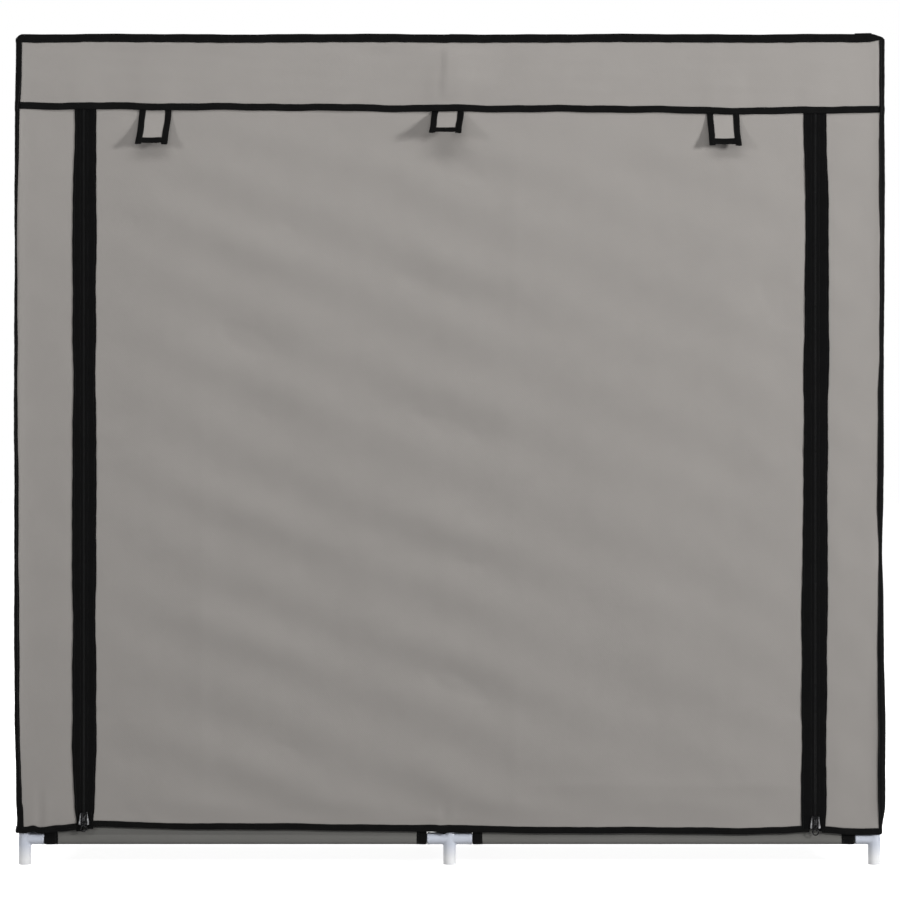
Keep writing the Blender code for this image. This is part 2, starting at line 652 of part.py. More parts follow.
def build():
    clear_scene()
    cabinet = add_object("cabinet", None, location=(0, CENTRE_SHIFT_Y, 0))
    plastic = make_material("frame_plastic", (0.78, 0.79, 0.83), 0.42)
    steel = make_material("rail_steel", (0.52, 0.53, 0.56), 0.35, 0.9)
    cover = make_material("cover_cloth", (0.30, 0.285, 0.272), 0.93)
    shelf = make_material("shelf_cloth", (0.27, 0.258, 0.247), 0.94)
    strap = make_material("strap_cloth", (0.30, 0.285, 0.272), 0.93)
    trim = make_material("binding_tape", (0.012, 0.012, 0.012), 0.85)
    metal = make_material("zip_metal", (0.09, 0.09, 0.095), 0.38, 0.85)
    add_ladder("left_ladder", -POST_X, (1,), plastic, cabinet)
    add_ladder("middle_ladder", 0, (-1, 1), plastic, cabinet)
    add_ladder("right_ladder", POST_X, (-1,), plastic, cabinet)
    add_rails(steel, cabinet)
    add_shelves(shelf, cabinet)
    add_side_panels(cover, cabinet)
    add_flat_panels(cover, trim, cabinet)
    add_zip_tapes(trim, cabinet)
    add_door(cover, trim, cabinet)
    add_sliders(metal, cabinet)
    add_straps(strap, cabinet)


build()
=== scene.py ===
"""Looks of the fabric shoe cabinet: cloth cover, bound seams, zips, straps, sling shelves and tube frame."""

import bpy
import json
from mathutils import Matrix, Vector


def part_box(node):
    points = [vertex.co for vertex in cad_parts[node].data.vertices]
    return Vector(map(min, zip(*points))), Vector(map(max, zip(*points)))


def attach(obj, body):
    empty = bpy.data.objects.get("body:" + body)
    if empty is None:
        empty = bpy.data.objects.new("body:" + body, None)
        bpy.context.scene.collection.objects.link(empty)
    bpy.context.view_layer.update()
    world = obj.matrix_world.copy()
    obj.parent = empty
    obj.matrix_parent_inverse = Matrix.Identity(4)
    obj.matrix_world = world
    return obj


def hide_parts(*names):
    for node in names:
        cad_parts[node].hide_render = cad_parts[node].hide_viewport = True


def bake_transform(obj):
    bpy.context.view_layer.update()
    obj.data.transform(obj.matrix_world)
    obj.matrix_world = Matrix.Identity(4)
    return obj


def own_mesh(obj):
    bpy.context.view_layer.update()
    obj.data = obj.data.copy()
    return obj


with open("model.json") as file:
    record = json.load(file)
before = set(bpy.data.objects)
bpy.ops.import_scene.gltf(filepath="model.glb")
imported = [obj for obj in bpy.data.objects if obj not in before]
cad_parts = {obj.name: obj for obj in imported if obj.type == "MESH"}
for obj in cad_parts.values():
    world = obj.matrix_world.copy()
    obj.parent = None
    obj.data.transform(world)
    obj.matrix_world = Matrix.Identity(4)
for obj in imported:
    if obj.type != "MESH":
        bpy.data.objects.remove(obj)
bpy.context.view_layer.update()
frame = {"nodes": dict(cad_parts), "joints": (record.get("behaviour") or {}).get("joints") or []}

import json
import math

import bmesh
import bpy
import numpy as np
from mathutils import Matrix, Vector

MM = 0.001
TAU = math.tau
SIDES = {"left": -1, "right": 1}


def middle(node):
    """Centre of a CAD node's box."""
    low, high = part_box(node)
    return (low + high) / 2


# Places and sizes read from the frame
ROOF_LOW, ROOF_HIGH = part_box("roof_panel")
FRONT_Y, BACK_Y = ROOF_LOW.y, ROOF_HIGH.y
SIDE_X, ROOF_Z = ROOF_HIGH.x, ROOF_HIGH.z
TOP_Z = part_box("top_seam")[1].z
HEADER_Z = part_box("door_panel")[1].z
HEM_Z = middle("door_hem").z
DOOR_EDGE_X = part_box("door_hem")[1].x
ZIP_X = middle("right_slider").x
TAPE_LOW_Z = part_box("right_zip_tape")[0].z
TAPE_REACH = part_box("right_zip_tape")[1].x - ZIP_X
RAIL_LOW, RAIL_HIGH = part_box("left_front_rail_0")
TUBE_RADIUS = (RAIL_HIGH.y - RAIL_LOW.y) / 2
FRONT_POST_Y = middle("left_front_rail_0").y
REAR_POST_Y = middle("left_rear_rail_0").y
LEVELS = [middle(f"left_front_rail_{level}").z for level in range(7)]
ARM_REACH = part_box("middle_ladder")[1].x
POST_X = ARM_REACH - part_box("left_ladder")[1].x
POST_TOP_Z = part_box("middle_ladder")[1].z
SHELF_NEAR_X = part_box("right_shelf_0")[0].x
SHELF_FAR_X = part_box("right_shelf_0")[1].x
SEAM_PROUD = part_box("top_seam")[1].x - SIDE_X
SEAM_FRONT = SEAM_PROUD + 1.3 * MM
SEAM_LIFT = 1.5 * MM
SEAM_WIDTH = 11.2 * MM
STRAP_AXES = {
    name: Vector(joint["pos_m"])
    for joint in frame["joints"]
    for name in ("left", "middle", "right")
    if joint["name"] == f"{name}_strap_swing"
}

# Cloth, tapes and thread
CLOTH = 0.7 * MM
CORNER = 5 * MM
SEAM_GAP = 0.3 * MM
HEM_WIDTH = 8.6 * MM
BINDING_RISE = 1.5 * MM
HEM_OVERLAP = 6 * MM
TAPE_STEP = 5 * MM
TURN_STEP = 2 * MM
DOOR_ROWS, HEADER_ROWS, SIDE_ROWS, BACK_ROWS = 190, 24, 175, 170
STITCH_PITCH = 3.6 * MM
STITCH_LENGTH = 2.9 * MM
STITCH_WIDTH = 0.55 * MM
STITCH_RISE = 0.35 * MM
WOBBLE_MM = (340, 150, 47), (0.55, 0.3, 0.08)

QUARTER = CORNER * math.pi / 2
FLAT_X = SIDE_X - CORNER
SIDE_RUN = BACK_Y - FRONT_Y - 2 * CORNER
REAR_CORNER_S = QUARTER + SIDE_RUN
WRAP_END_S = REAR_CORNER_S + QUARTER


# Smooth irregular shapes: their places t, u and v are in metres, and what shapes them is in millimetres

def uneven(t, seed, lengths, heights):
    """Irregular waviness along t: sines of the lengths and heights given, with seeded phases."""
    phases = np.random.default_rng(seed).uniform(0, TAU, len(lengths))
    waves = zip(heights, lengths, phases)
    return MM * sum(h * np.sin(TAU * t / (length * MM) + phase) for h, length, phase in waves)


def ripples(u, v, seed, length, height, count=7):
    """Irregular shallow waves over a surface, from plane waves in seeded directions."""
    rng = np.random.default_rng(seed)
    total = 0.0
    for _ in range(count):
        angle, phase = rng.uniform(0, TAU, 2)
        stretch = length * MM * rng.uniform(0.6, 1.6)
        total = total + np.sin(TAU * (u * math.cos(angle) + v * math.sin(angle)) / stretch + phase)
    return height * MM * total / math.sqrt(count)


def eased_step(share):
    """A share from 0 to 1, eased at both ends."""
    share = np.clip(share, 0, 1)
    return share * share * (3 - 2 * share)


def eased(t, knots, values):
    """Value at t between given knots, with an eased step from each knot to the next."""
    t, knots, values = t / MM, np.array(knots), np.array(values)
    at = np.clip(np.searchsorted(knots, t) - 1, 0, len(knots) - 2)
    share = eased_step((t - knots[at]) / (knots[at + 1] - knots[at]))
    return MM * (values[at] + (values[at + 1] - values[at]) * share)


def bump(t, centre, width):
    """A bell of height 1."""
    return np.exp(-(((t / MM - centre) / width) ** 2))


def block(t, width):
    """A bell of height 1 with a flat top."""
    return np.exp(-((t / MM / width) ** 4))


def ridge(t, width):
    """A sharp crest of height 1."""
    return np.exp(-np.abs(t) / MM / width)


def rise(t, start, end):
    """An eased step from 0 at start to 1 at end."""
    return eased_step((t / MM - start) / (end - start))


def held_off(relief, depth):
    """Limits how far a relief goes inwards, where the frame lies behind the cloth."""
    return np.where(relief < 0, -depth * np.tanh(np.maximum(-relief, 0) / depth), relief)


# Meshes

BEAD_TAPER = np.array([0.3, 0.85, 1.0, 0.85, 0.3])
BEAD_STEPS = np.array([0.0, 0.15, 0.5, 0.85, 1.0])
BEAD_ANGLES = np.radians([0, 90, 180, 270])


def linked(name, data):
    """A new object in the scene."""
    obj = bpy.data.objects.new(name, data)
    bpy.context.scene.collection.objects.link(obj)
    return obj


def quads(grid):
    """The four corners of each cell of a grid, in order."""
    return np.stack([grid[:-1, :-1], grid[:-1, 1:], grid[1:, 1:], grid[1:, :-1]], axis=2)


def bar_faces(rows, columns):
    """Quads of a closed tube of rings, with its ends capped, for four points a ring."""
    index = np.arange(rows * columns).reshape(rows, columns)
    sides = quads(np.concatenate([index, index[:, :1]], axis=1))
    return np.concatenate([sides.reshape(-1, 4), index[:1, ::-1], index[-1:]])


class Shape:
    """Collects patches of quads, tapes and small bars, with UVs in metres, into one mesh."""

    def __init__(self):
        self.points, self.faces, self.uvs, self.slots = [], [], [], []
        self.count = 0

    def hold(self, points, faces, uvs, slot=0):
        self.points.append(points.reshape(-1, 3))
        self.faces += faces
        self.uvs.append(uvs.reshape(-1, 2))
        self.slots += [slot] * len(faces)
        self.count += len(self.points[-1])

    def patch(self, places, u, v, closed=False, capped=False, flip=False):
        """Skins rows x columns of places; a closed patch joins its last column to its first."""
        points = np.stack(np.broadcast_arrays(*places), axis=-1)
        rows, columns = points.shape[:2]
        index = self.count + np.arange(rows * columns).reshape(rows, columns)
        around = np.concatenate([index, index[:, :1]], axis=1) if closed else index
        uv = np.stack(np.broadcast_arrays(u, v), axis=-1)
        faces, corners = quads(around).reshape(-1, 4), quads(uv).reshape(-1, 4, 2)
        if flip:
            faces, corners = faces[:, ::-1], corners[:, ::-1]
        self.hold(points, faces.tolist(), corners)
        if capped:
            self.faces += [index[0, ::-1].tolist(), index[-1].tolist()]
            self.uvs += [uv[0, columns - 1 :: -1], uv[-1, :columns]]
            self.slots += [0] * 2

    def bars(self, places, u, v, slot=0):
        """Many small closed bars at once: arrays of bars x rings x 4 places."""
        points = np.stack(np.broadcast_arrays(*places), axis=-1)
        bars, rows, columns = points.shape[:3]
        one = bar_faces(rows, columns)
        faces = one[None] + np.arange(bars)[:, None, None] * rows * columns
        uv = np.stack(np.broadcast_arrays(u, v), axis=-1).reshape(-1, 2)
        self.hold(points, (faces.reshape(-1, 4) + self.count).tolist(), uv[faces.reshape(-1, 4)], slot)

    def stitches(self, place, start, end, across, height):
        """A row of stitches sunk in a tape, each a tapered bead of thread along the seam."""
        count = int((end - start) / STITCH_PITCH)
        first = start + STITCH_PITCH * (np.arange(count) + 0.2)
        t = first[:, None, None] + STITCH_LENGTH * BEAD_STEPS[None, :, None]
        taper = BEAD_TAPER[None, :, None]
        a = across + STITCH_WIDTH / 2 * taper * np.cos(BEAD_ANGLES)
        h = height + STITCH_RISE * taper * np.sin(BEAD_ANGLES)
        self.bars(place(t, a, h), t, a, slot=1)

    def tape(self, place, start, end, section, seed, step=TAPE_STEP, rows=()):
        """Sweeps a closed section of (across, height) along a seam; rows are (across, height) of stitches."""
        t = np.linspace(start, end, max(2, round(abs(end - start) / step) + 1))[:, None]
        a, h = section.T
        wide = 1 + uneven(t, seed, (110, 27), (0.02, 0.012)) / MM
        thick = 1 + uneven(t, seed + 1, (47, 11), (0.08, 0.05)) / MM
        steps = np.hypot(*np.diff(np.vstack([section, section[:1]]), axis=0).T)
        around = np.concatenate([[0.0], np.cumsum(steps)])
        self.patch(place(t, a * wide, h * thick), t, around, closed=True, capped=True)
        for across, height in rows:
            self.stitches(place, start, end, across, height)

    def fold(self, place, start, end, width, front, back, seed, step=TAPE_STEP, seam=None):
        """A tape folded over an edge and sewn through; seam is the stitches' place across and height."""
        seam = seam or (width * SEAM_SHARE, front * SEAM_HEIGHT_SHARE)
        self.tape(place, start, end, fold_section(width, front, back), seed, step, [seam])

    def piece(self, name, *materials, closed=True, sharp=55):
        """The finished object. Closed skins get their faces turned outwards."""
        mesh = bpy.data.meshes.new(name)
        mesh.from_pydata(np.concatenate(self.points).tolist(), [], self.faces)
        layer = mesh.uv_layers.new(name="cloth")
        layer.uv.foreach_set("vector", np.concatenate(self.uvs).ravel())
        mesh.polygons.foreach_set("material_index", self.slots)
        for material in materials:
            mesh.materials.append(material)
        if closed:
            form = bmesh.new()
            form.from_mesh(mesh)
            bmesh.ops.recalc_face_normals(form, faces=form.faces)
            form.to_mesh(mesh)
            form.free()
        mesh.shade_smooth()
        mesh.set_sharp_from_angle(angle=math.radians(sharp))
        return linked(name, mesh)


def modify(piece, kind, **settings):
    """Adds a modifier of a kind."""
    modifier = piece.modifiers.new(kind.title(), kind)
    for key, value in settings.items():
        setattr(modifier, key, value)
    return piece


def thicken(piece, thickness=CLOTH, offset=-1.0):
    """Gives a sheet its thickness, inwards from its outer face unless told otherwise."""
    return modify(piece, "SOLIDIFY", thickness=thickness, offset=offset)


def bake_modifiers(piece):
    """Applies a piece's modifiers to its mesh."""
    depsgraph = bpy.context.evaluated_depsgraph_get()
    mesh = bpy.data.meshes.new_from_object(piece.evaluated_get(depsgraph))
    piece.modifiers.clear()
    piece.data = mesh
    mesh.shade_smooth()


def settle(piece, slot, *nodes, body="cabinet"):
    """Rides a piece on its body and hides the CAD nodes that it stands for. The slot is not used."""
    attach(piece, body)
    if nodes:
        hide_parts(*nodes)
    return piece


def cover_cloth(name, node, places, u, v, flip=False):
    """A cloth of the cover, in place of its CAD node."""
    shape = Shape()
    shape.patch(places, u, v, flip=flip)
    return settle(thicken(shape.piece(name, COVER, closed=False)), "cover_cloth", node)


def bound_edge(shape, name, *nodes, body="cabinet"):
    """A bound edge of tape and thread."""
    return settle(shape.piece(name, BINDING, THREAD), "binding_tape", *nodes, body=body)


FOLD_SHARES = ((1.0, 0.3), (0.985, 0.74), (0.84, 0.6), (0.7, 0.86), (0.42, 1.0), (0.14, 0.92), (0.0, 0.38))
BAND_SHARES = ((-0.5, 0.3), (-0.47, 0.66), (-0.34, 0.55), (-0.22, 0.86), (0.0, 1.0))
SEAM_SHARE = 0.83
SEAM_HEIGHT_SHARE = 0.62
BAND_SEAM_SHARE = 0.345


def fold_section(width, front, back):
    """Section of a tape folded over an edge: distance from the fold, height over the middle of the cloth."""
    upper = [(width * a, front * h) for a, h in FOLD_SHARES]
    lower = [(width * a, -back * h) for a, h in reversed(FOLD_SHARES)]
    return np.array(upper + lower)


def band_section(width, proud):
    """Section of a tape laid flat on cloth and sewn along both edges."""
    half = [(width * a, proud * h) for a, h in BAND_SHARES]
    upper = half + [(-a, h) for a, h in reversed(half[:-1])]
    return np.array(upper + [(width / 2, 0.05 * MM), (-width / 2, 0.05 * MM)])


# Places on the cover

def wrap(side, s, out):
    """Plan of the cover on one side: s runs along the cloth from where the front corner starts to turn."""
    front_turn = np.clip(s / CORNER, 0, math.pi / 2)
    rear_turn = np.clip((s - REAR_CORNER_S) / CORNER, 0, math.pi / 2)
    turn = front_turn + rear_turn
    x = FLAT_X + np.minimum(s, 0) + CORNER * (np.sin(front_turn) + np.cos(rear_turn) - 1)
    x = x - np.maximum(s - WRAP_END_S, 0) + out * np.sin(turn)
    y = FRONT_Y + CORNER * (1 - np.cos(front_turn) + np.sin(rear_turn))
    y = y + np.clip(s - QUARTER, 0, SIDE_RUN) - out * np.cos(turn)
    return side * x, y


def across_front(x, out):
    """Plan of the front, where x past the flat part runs on round the corner."""
    side = np.where(x < 0, -1.0, 1.0)
    return wrap(side, np.abs(x) - FLAT_X, out)


# Curves of the hems and bindings in millimetres, set after the sagging cloth

DOOR_HEM_X = (-472, -358, -70, -26, 10, 93, 385, 440, 472)
DOOR_HEM_RISE = (8.9, 6.0, 3.8, 2.8, 2.1, 0.9, -0.4, 0.2, 2.3)
HEADER_HEM_X = (-566, -300, 0, 240, 340, 420, 530, 566)
HEADER_HEM_RISE = (6.4, 4.9, 2.8, 2.1, -0.1, -0.5, 1.3, 1.9)
STRIP_HEM_S = {
    -1: (-76, -52, -26, -17, -6, 12, 60),
    1: (-76, -38, -4, 12, 60),
}
STRIP_HEM_RISE = {
    -1: (5.6, 3.2, 0.0, 2.6, 0.6, 0.2, 0.0),
    1: (0.8, -1.0, -1.4, -0.8, 0.0),
}
CORNER_SEAM_Z = {
    -1: (40, 60, 73, 86, 126, 166, 285, 418, 616, 828, 908, 988, 1060),
    1: (40, 60, 86, 166, 285, 351, 418, 484, 550, 617, 683, 948, 1092),
}
CORNER_SEAM_S = {
    -1: (0.2, 0.5, 0.9, 2.8, 4.1, 4.9, 5.4, 5.9, 6.8, 7.8, 6.9, 5.4, 2.3),
    1: (5.8, 4.6, 3.2, 3.0, 2.9, 3.6, 4.2, 2.4, 3.1, 3.2, 5.4, 4.8, 4.7),
}
CORNER_SWELL_Z = {
    -1: (46, 62, 126, 200, 484, 820, 960, 1092),
    1: (46, 86, 166, 285, 351, 418, 484, 550, 617, 748, 948, 1060),
}
CORNER_SWELL = {
    -1: (1.8, 0.7, 0.9, 2.4, 2.8, 2.3, 1.8, 1.1),
    1: (1.4, 3.6, 3.6, 1.7, 0.9, -0.8, 0.6, 1.3, 0.9, 1.9, 2.3, 2.4),
}
CORNER_TUCK = {-1: 1.0 * MM, 1: 2.3 * MM}
CORNER_TUCK_MM = 34


def door_hem_z(x):
    wobble = uneven(x, 11, (240, 90), (0.35, 0.2))
    knot = -1.2 * MM * bump(x, -11, 6)
    return HEM_Z + eased(x, DOOR_HEM_X, DOOR_HEM_RISE) + wobble + knot


def header_hem_z(x):
    wobble = uneven(x, 12, (150, 64), (0.55, 0.3))
    return HEADER_Z + eased(x, HEADER_HEM_X, HEADER_HEM_RISE) + wobble


def strip_hem_z(side, s):
    wobble = uneven(s, 13 + side, (130, 55), (0.35, 0.2))
    return HEM_Z + eased(s, STRIP_HEM_S[side], STRIP_HEM_RISE[side]) + wobble


def corner_seam_s(side, z):
    wobble = uneven(z, 21 + side, (210, 83), (0.25, 0.15))
    return eased(z, CORNER_SEAM_Z[side], CORNER_SEAM_S[side]) + wobble


# Relief of the cloth

def corner_swell(side, s, z):
    """How far the cloth stands out where it turns a front corner."""
    wobble = uneven(z, 61 + side, (330, 140), (0.25, 0.15))
    return (wobble + eased(z, CORNER_SWELL_Z[side], CORNER_SWELL[side])) * bump(s - QUARTER * 0.8, 0, 9)


BAND_SLOPE = 0.40
BAND_RISE = 1.7 * MM
FOLD_LINES_X = (-329 * MM, 87 * MM)
DOOR_BELLY = 1.3 * MM
DOOR_KNOT_MM = -7


def door_relief(x, z):
    """How far the door cloth stands proud: slanting waves, pressed folds, and dents beside the zips."""
    pitch = LEVELS[1] - LEVELS[0]
    tier = (z - LEVELS[0]) / pitch
    drift = ripples(x, z, 31, 420, 0.42, 5) / MM
    strength = 0.34 + 0.62 * bump(x, -250, 105) + 0.72 * bump(x, 2, 82)
    strength = strength * (0.85 + 0.15 * np.sin(TAU * tier + x / (140 * MM)))
    waves = BAND_RISE * strength * np.sin(TAU * (z + BAND_SLOPE * x) / (pitch / 2) + drift)
    relief = waves + 0.8 * MM * np.sin(math.pi * tier) ** 2
    for number, line in enumerate(FOLD_LINES_X):
        fade = 0.55 + 0.45 * np.sin(z / (190 * MM) + 2 * number)
        relief = relief + 1.1 * MM * fade * ridge(x - line, 16)
    low_fold = rise(x, 60, 130)
    relief = relief + 0.75 * MM * low_fold * ridge(z - 105 * MM, 9)
    relief = relief + ripples(x, z, 32, 150, 0.5) + ripples(x, z, 33, 52, 0.09)
    for level in LEVELS[1:6]:
        for side in SIDES.values():
            edge = side * (ZIP_X - TAPE_REACH)
            tie = level - 3 * MM
            relief = relief - 1.5 * MM * bump(x - edge, 0, 8) * bump(z - tie, 0, 4)
            relief = relief - 1.1 * MM * bump(x - edge, 0, 34) * bump(z - tie, 0, 13)
    calm = rise(DOOR_EDGE_X - np.abs(x), 4, 60) * rise(z - HEM_Z, 0, 40)
    calm = calm * rise(HEADER_Z + 8 * MM - z, 0, 90)
    dents = np.minimum(relief, 0) * rise(DOOR_EDGE_X - np.abs(x), 0, 9)
    relief = relief + DOOR_BELLY * rise(DOOR_EDGE_X - np.abs(x), 25, 110)
    relief = np.where(relief < 0, np.maximum(dents, relief * calm - 0.5 * MM), relief * calm)
    relief = held_off(relief, (1.1 - 0.7 * bump(x, 0, 24)) * MM)
    low = bump(z - HEM_Z, 20, 17) * rise(z - HEM_Z, 8, 17)
    return relief + (1.7 * MM * bump(x, DOOR_KNOT_MM, 24) - 1.6 * MM * bump(x, DOOR_KNOT_MM, 6)) * low


def header_relief(x, z):
    """Stand-off of the header: its lower edge hangs out over the straps."""
    low = rise(ROOF_Z - z, 6, 80)
    straps = sum(block(x - axis.x, 27) for axis in STRAP_AXES.values())
    zips = block(np.abs(x) - ZIP_X, 20)
    over = (1.2 + 1.8 * straps + 0.7 * zips) * MM * low
    line = -6 * MM + 1.2 * MM * np.sin((z - 1040 * MM) / (17 * MM))
    step = rise(x - line, -6, 0) * rise(line + 90 * MM - x, 0, 84)
    crease = 2.4 * MM * step * rise(z, 1008, 1034)
    swell = 2.2 * MM * bump(x, 2, 36) * rise(z, 1012, 1050)
    lip = 0.45 * MM * rise(z, 1080, 1088) * rise(-364 * MM - x, 0, 8)
    inside = rise(FLAT_X - np.abs(x), -4, 40)
    waves = ripples(x, z, 41, 170, 0.6) + ripples(x, 2 * z, 42, 60, 0.14)
    middle_part = (over + lip + (crease + swell + waves) * rise(ROOF_Z - z, 2, 18)) * inside
    past = np.abs(x) - FLAT_X
    corners = np.where(x < 0, corner_swell(-1, past, z), corner_swell(1, past, z))
    return 0.12 * MM + middle_part + corners


STRIP_DRAW = 0.25 * MM
PANEL_DRAW = 0.5 * MM
SIDE_FOLD_S = QUARTER + SIDE_RUN * 0.52
SIDE_FOLDS_Z = (310 * MM, 575 * MM, 835 * MM)


def side_relief(side, s, z):
    """Relief of a side and its front strip: soft waves, and level marks where the cloth is tied back."""
    level_marks = 0.0
    for level in LEVELS[1:6]:
        level_marks = level_marks + bump(z - level, -3, 11)
    strip = rise(-s, 4, 30)
    near_zip = bump(s, -72, 16)
    panel = rise(s, 22, 70) * rise(REAR_CORNER_S - s, 10, 60)
    waves = ripples(s, z, 51 + side, 130, 0.42) * (strip + 2.4 * panel)
    slant = 0.8 * MM * np.sin(TAU * (z + 0.5 * s) / (88 * MM)) * (0.5 * strip + 1.3 * panel)
    marks = -level_marks * (0.7 * MM * near_zip + 0.35 * MM * strip + 1.3 * MM * panel)
    swell = 2.2 * MM * panel * np.sin(math.pi * (z - LEVELS[0]) / (LEVELS[1] - LEVELS[0])) ** 2
    folds = 1.3 * MM * ridge(s - SIDE_FOLD_S, 12) * (0.7 + 0.3 * np.sin(z / (120 * MM) + side))
    folds = folds + sum(0.9 * MM * ridge(z - line, 10) for line in SIDE_FOLDS_Z)
    folds = folds * rise(s, 30, 60) * rise(REAR_CORNER_S - s, 10, 45)
    crease = 0.0
    if side < 0:
        drape = 2.0 * MM * bump(s, -26, 17) - 2.4 * MM * bump(s, -25, 4.5)
        crease = drape * rise(125 * MM - z, 0, 60)
    tuck = -CORNER_TUCK[side] * bump(s - QUARTER / 2, 0, 9)
    tuck = tuck * (1 - rise(z - HEM_Z, 0, CORNER_TUCK_MM))
    fade = rise(z - HEM_Z, 0, 30) * rise(ROOF_Z - z, 0, 30) * rise(s, -70, -50)
    corner = corner_swell(side, s, z)
    under_zip = -0.4 * MM * bump(s, -76, 14)
    under_header = rise(z - HEADER_Z, -30, -5) * rise(QUARTER + 12 * MM - s, 0, 12)
    relief = (waves + slant + marks + swell + 0.4 * MM) * fade * (1 - under_header)
    relief = held_off(relief + folds * fade, np.where(s < QUARTER, STRIP_DRAW, PANEL_DRAW))
    return relief + crease + corner + tuck + under_zip


# Materials

class Finish:
    """A procedural material on a Principled shader, built node by node."""

    def __init__(self, name, roughness, metallic=0.0, sheen=0.0, specular=0.5):
        self.material = bpy.data.materials.new(name)
        self.material.use_nodes = True
        self.tree = self.material.node_tree
        self.shader = self.tree.nodes["Principled BSDF"]
        values = {"Roughness": roughness, "Metallic": metallic, "Sheen Weight": sheen}
        for key, value in {**values, "Specular IOR Level": specular}.items():
            self.shader.inputs[key].default_value = value
        self.bumped = None

    def add(self, kind, inputs=None, **settings):
        made = self.tree.nodes.new(f"ShaderNode{kind}")
        for key, value in settings.items():
            setattr(made, key, value)
        for key, value in (inputs or {}).items():
            self.put(made.inputs[key], value)
        return made

    def put(self, socket, value):
        if isinstance(value, bpy.types.NodeSocket):
            self.tree.links.new(value, socket)
        else:
            socket.default_value = value

    def coordinates(self, source="UV", scale=(1, 1, 1), turn=0.0):
        """Cloth coordinates in metres (UV) or the piece's own place (Object), scaled and turned."""
        where = self.add("TexCoord").outputs[source]
        inputs = {"Vector": where, "Rotation": (0, 0, math.radians(turn)), "Scale": scale}
        return self.add("Mapping", inputs).outputs["Vector"]

    def noise(self, vector, scale, detail=3.0, roughness=0.55, distortion=0.0):
        inputs = {"Vector": vector, "Scale": scale, "Detail": detail, "Roughness": roughness}
        inputs["Distortion"] = distortion
        return self.add("TexNoise", inputs).outputs["Fac"]

    def ramp(self, value, low, high, start=0.0, end=1.0):
        """Maps value from low..high to start..end."""
        inputs = {"Value": value, "From Min": low, "From Max": high, "To Min": start, "To Max": end}
        return self.add("MapRange", inputs).outputs["Result"]

    def maths(self, operation, first, second):
        return self.add("Math", {0: first, 1: second}, operation=operation).outputs["Value"]

    def tint(self, share, first, second):
        mixed = self.add("Mix", data_type="RGBA")
        self.put(mixed.inputs["Factor"], share)
        for socket, value in (("A", first), ("B", second)):
            colour = value if isinstance(value, bpy.types.NodeSocket) else (*value, 1.0)
            self.put([s for s in mixed.inputs if s.name == socket and s.type == "RGBA"][0], colour)
        return [s for s in mixed.outputs if s.type == "RGBA"][0]

    def shades(self, share, colour, first, second):
        """Fades between two shades of a colour."""
        return self.tint(share, shade(colour, first), shade(colour, second))

    def colour(self, value):
        self.put(self.shader.inputs["Base Color"], value)

    def rough(self, value):
        self.put(self.shader.inputs["Roughness"], value)

    def emboss(self, height, distance, strength=1.0):
        """Adds a height to the bump chain, with its depth in metres."""
        inputs = {"Height": height, "Distance": distance, "Strength": strength}
        if self.bumped is not None:
            inputs["Normal"] = self.bumped
        self.bumped = self.add("Bump", inputs).outputs["Normal"]
        self.put(self.shader.inputs["Normal"], self.bumped)


def shade(colour, factor):
    return tuple(channel * factor for channel in colour)


def nonwoven(name, colour, mottle=0.03):
    """Point-bonded nonwoven: a diamond lattice of pressed dots in a web of fine fibres, slightly cloudy."""
    finish = Finish(name, 0.9, sheen=0.12, specular=0.25)
    lattice = finish.coordinates(turn=45)
    dots = finish.add("TexVoronoi", {"Vector": lattice, "Scale": 1 / (1.7 * MM), "Randomness": 0.18})
    pressed = finish.ramp(dots.outputs["Distance"], 0.22, 0.42)
    fibres_one = finish.noise(finish.coordinates(scale=(1, 7, 1), turn=24), 420, 3, 0.6, 0.6)
    fibres_two = finish.noise(finish.coordinates(scale=(7, 1, 1), turn=17), 390, 3, 0.6, 0.6)
    web = finish.maths("ADD", fibres_one, fibres_two)
    clouds = finish.noise(finish.coordinates(), 26, 5, 0.62, 0.4)
    patches = finish.noise(finish.coordinates(scale=(1, 0.45, 1)), 7, 3, 0.5)
    tone = finish.maths("ADD", finish.ramp(clouds, 0.3, 0.7), finish.ramp(patches, 0.3, 0.7))
    ground = finish.shades(finish.ramp(tone, 0.2, 1.8), colour, 1 - mottle, 1 + mottle)
    fibrous = finish.tint(finish.ramp(web, 0.75, 1.25, 0.0, 0.35), ground, shade(colour, 1.22))
    bonded = finish.tint(finish.ramp(pressed, 0, 1, 0.22, 0.0), fibrous, shade(colour, 0.72))
    finish.colour(bonded)
    finish.rough(finish.ramp(pressed, 0, 1, 0.72, 0.93))
    finish.emboss(pressed, 0.09 * MM, 0.6)
    finish.emboss(web, 0.05 * MM, 0.6)
    finish.emboss(clouds, 0.5 * MM, 0.2)
    return finish.material


def tape_weave(name, colour, pitch):
    """A plain ribbed tape: cross ribs and warp lines, faintly dusty."""
    finish = Finish(name, 0.85, specular=0.07)
    ribs = ({"Vector": finish.coordinates(turn=turn), "Scale": 0.1 / pitch} for turn in (0, 90))
    weave = finish.maths("MULTIPLY", *(finish.add("TexWave", rib).outputs["Fac"] for rib in ribs))
    dust = finish.noise(finish.coordinates(), 60, 5, 0.65)
    lint = finish.noise(finish.coordinates(scale=(1, 6, 1), turn=35), 500, 2, 0.5, 0.8)
    worn = finish.shades(finish.ramp(dust, 0.35, 0.75), colour, 0.8, 1.5)
    finish.colour(finish.tint(finish.ramp(lint, 0.6, 0.8, 0.0, 0.3), worn, shade(colour, 2.4)))
    finish.rough(finish.ramp(weave, 0, 1, 0.88, 0.7))
    finish.emboss(weave, 0.12 * MM, 0.7)
    return finish.material


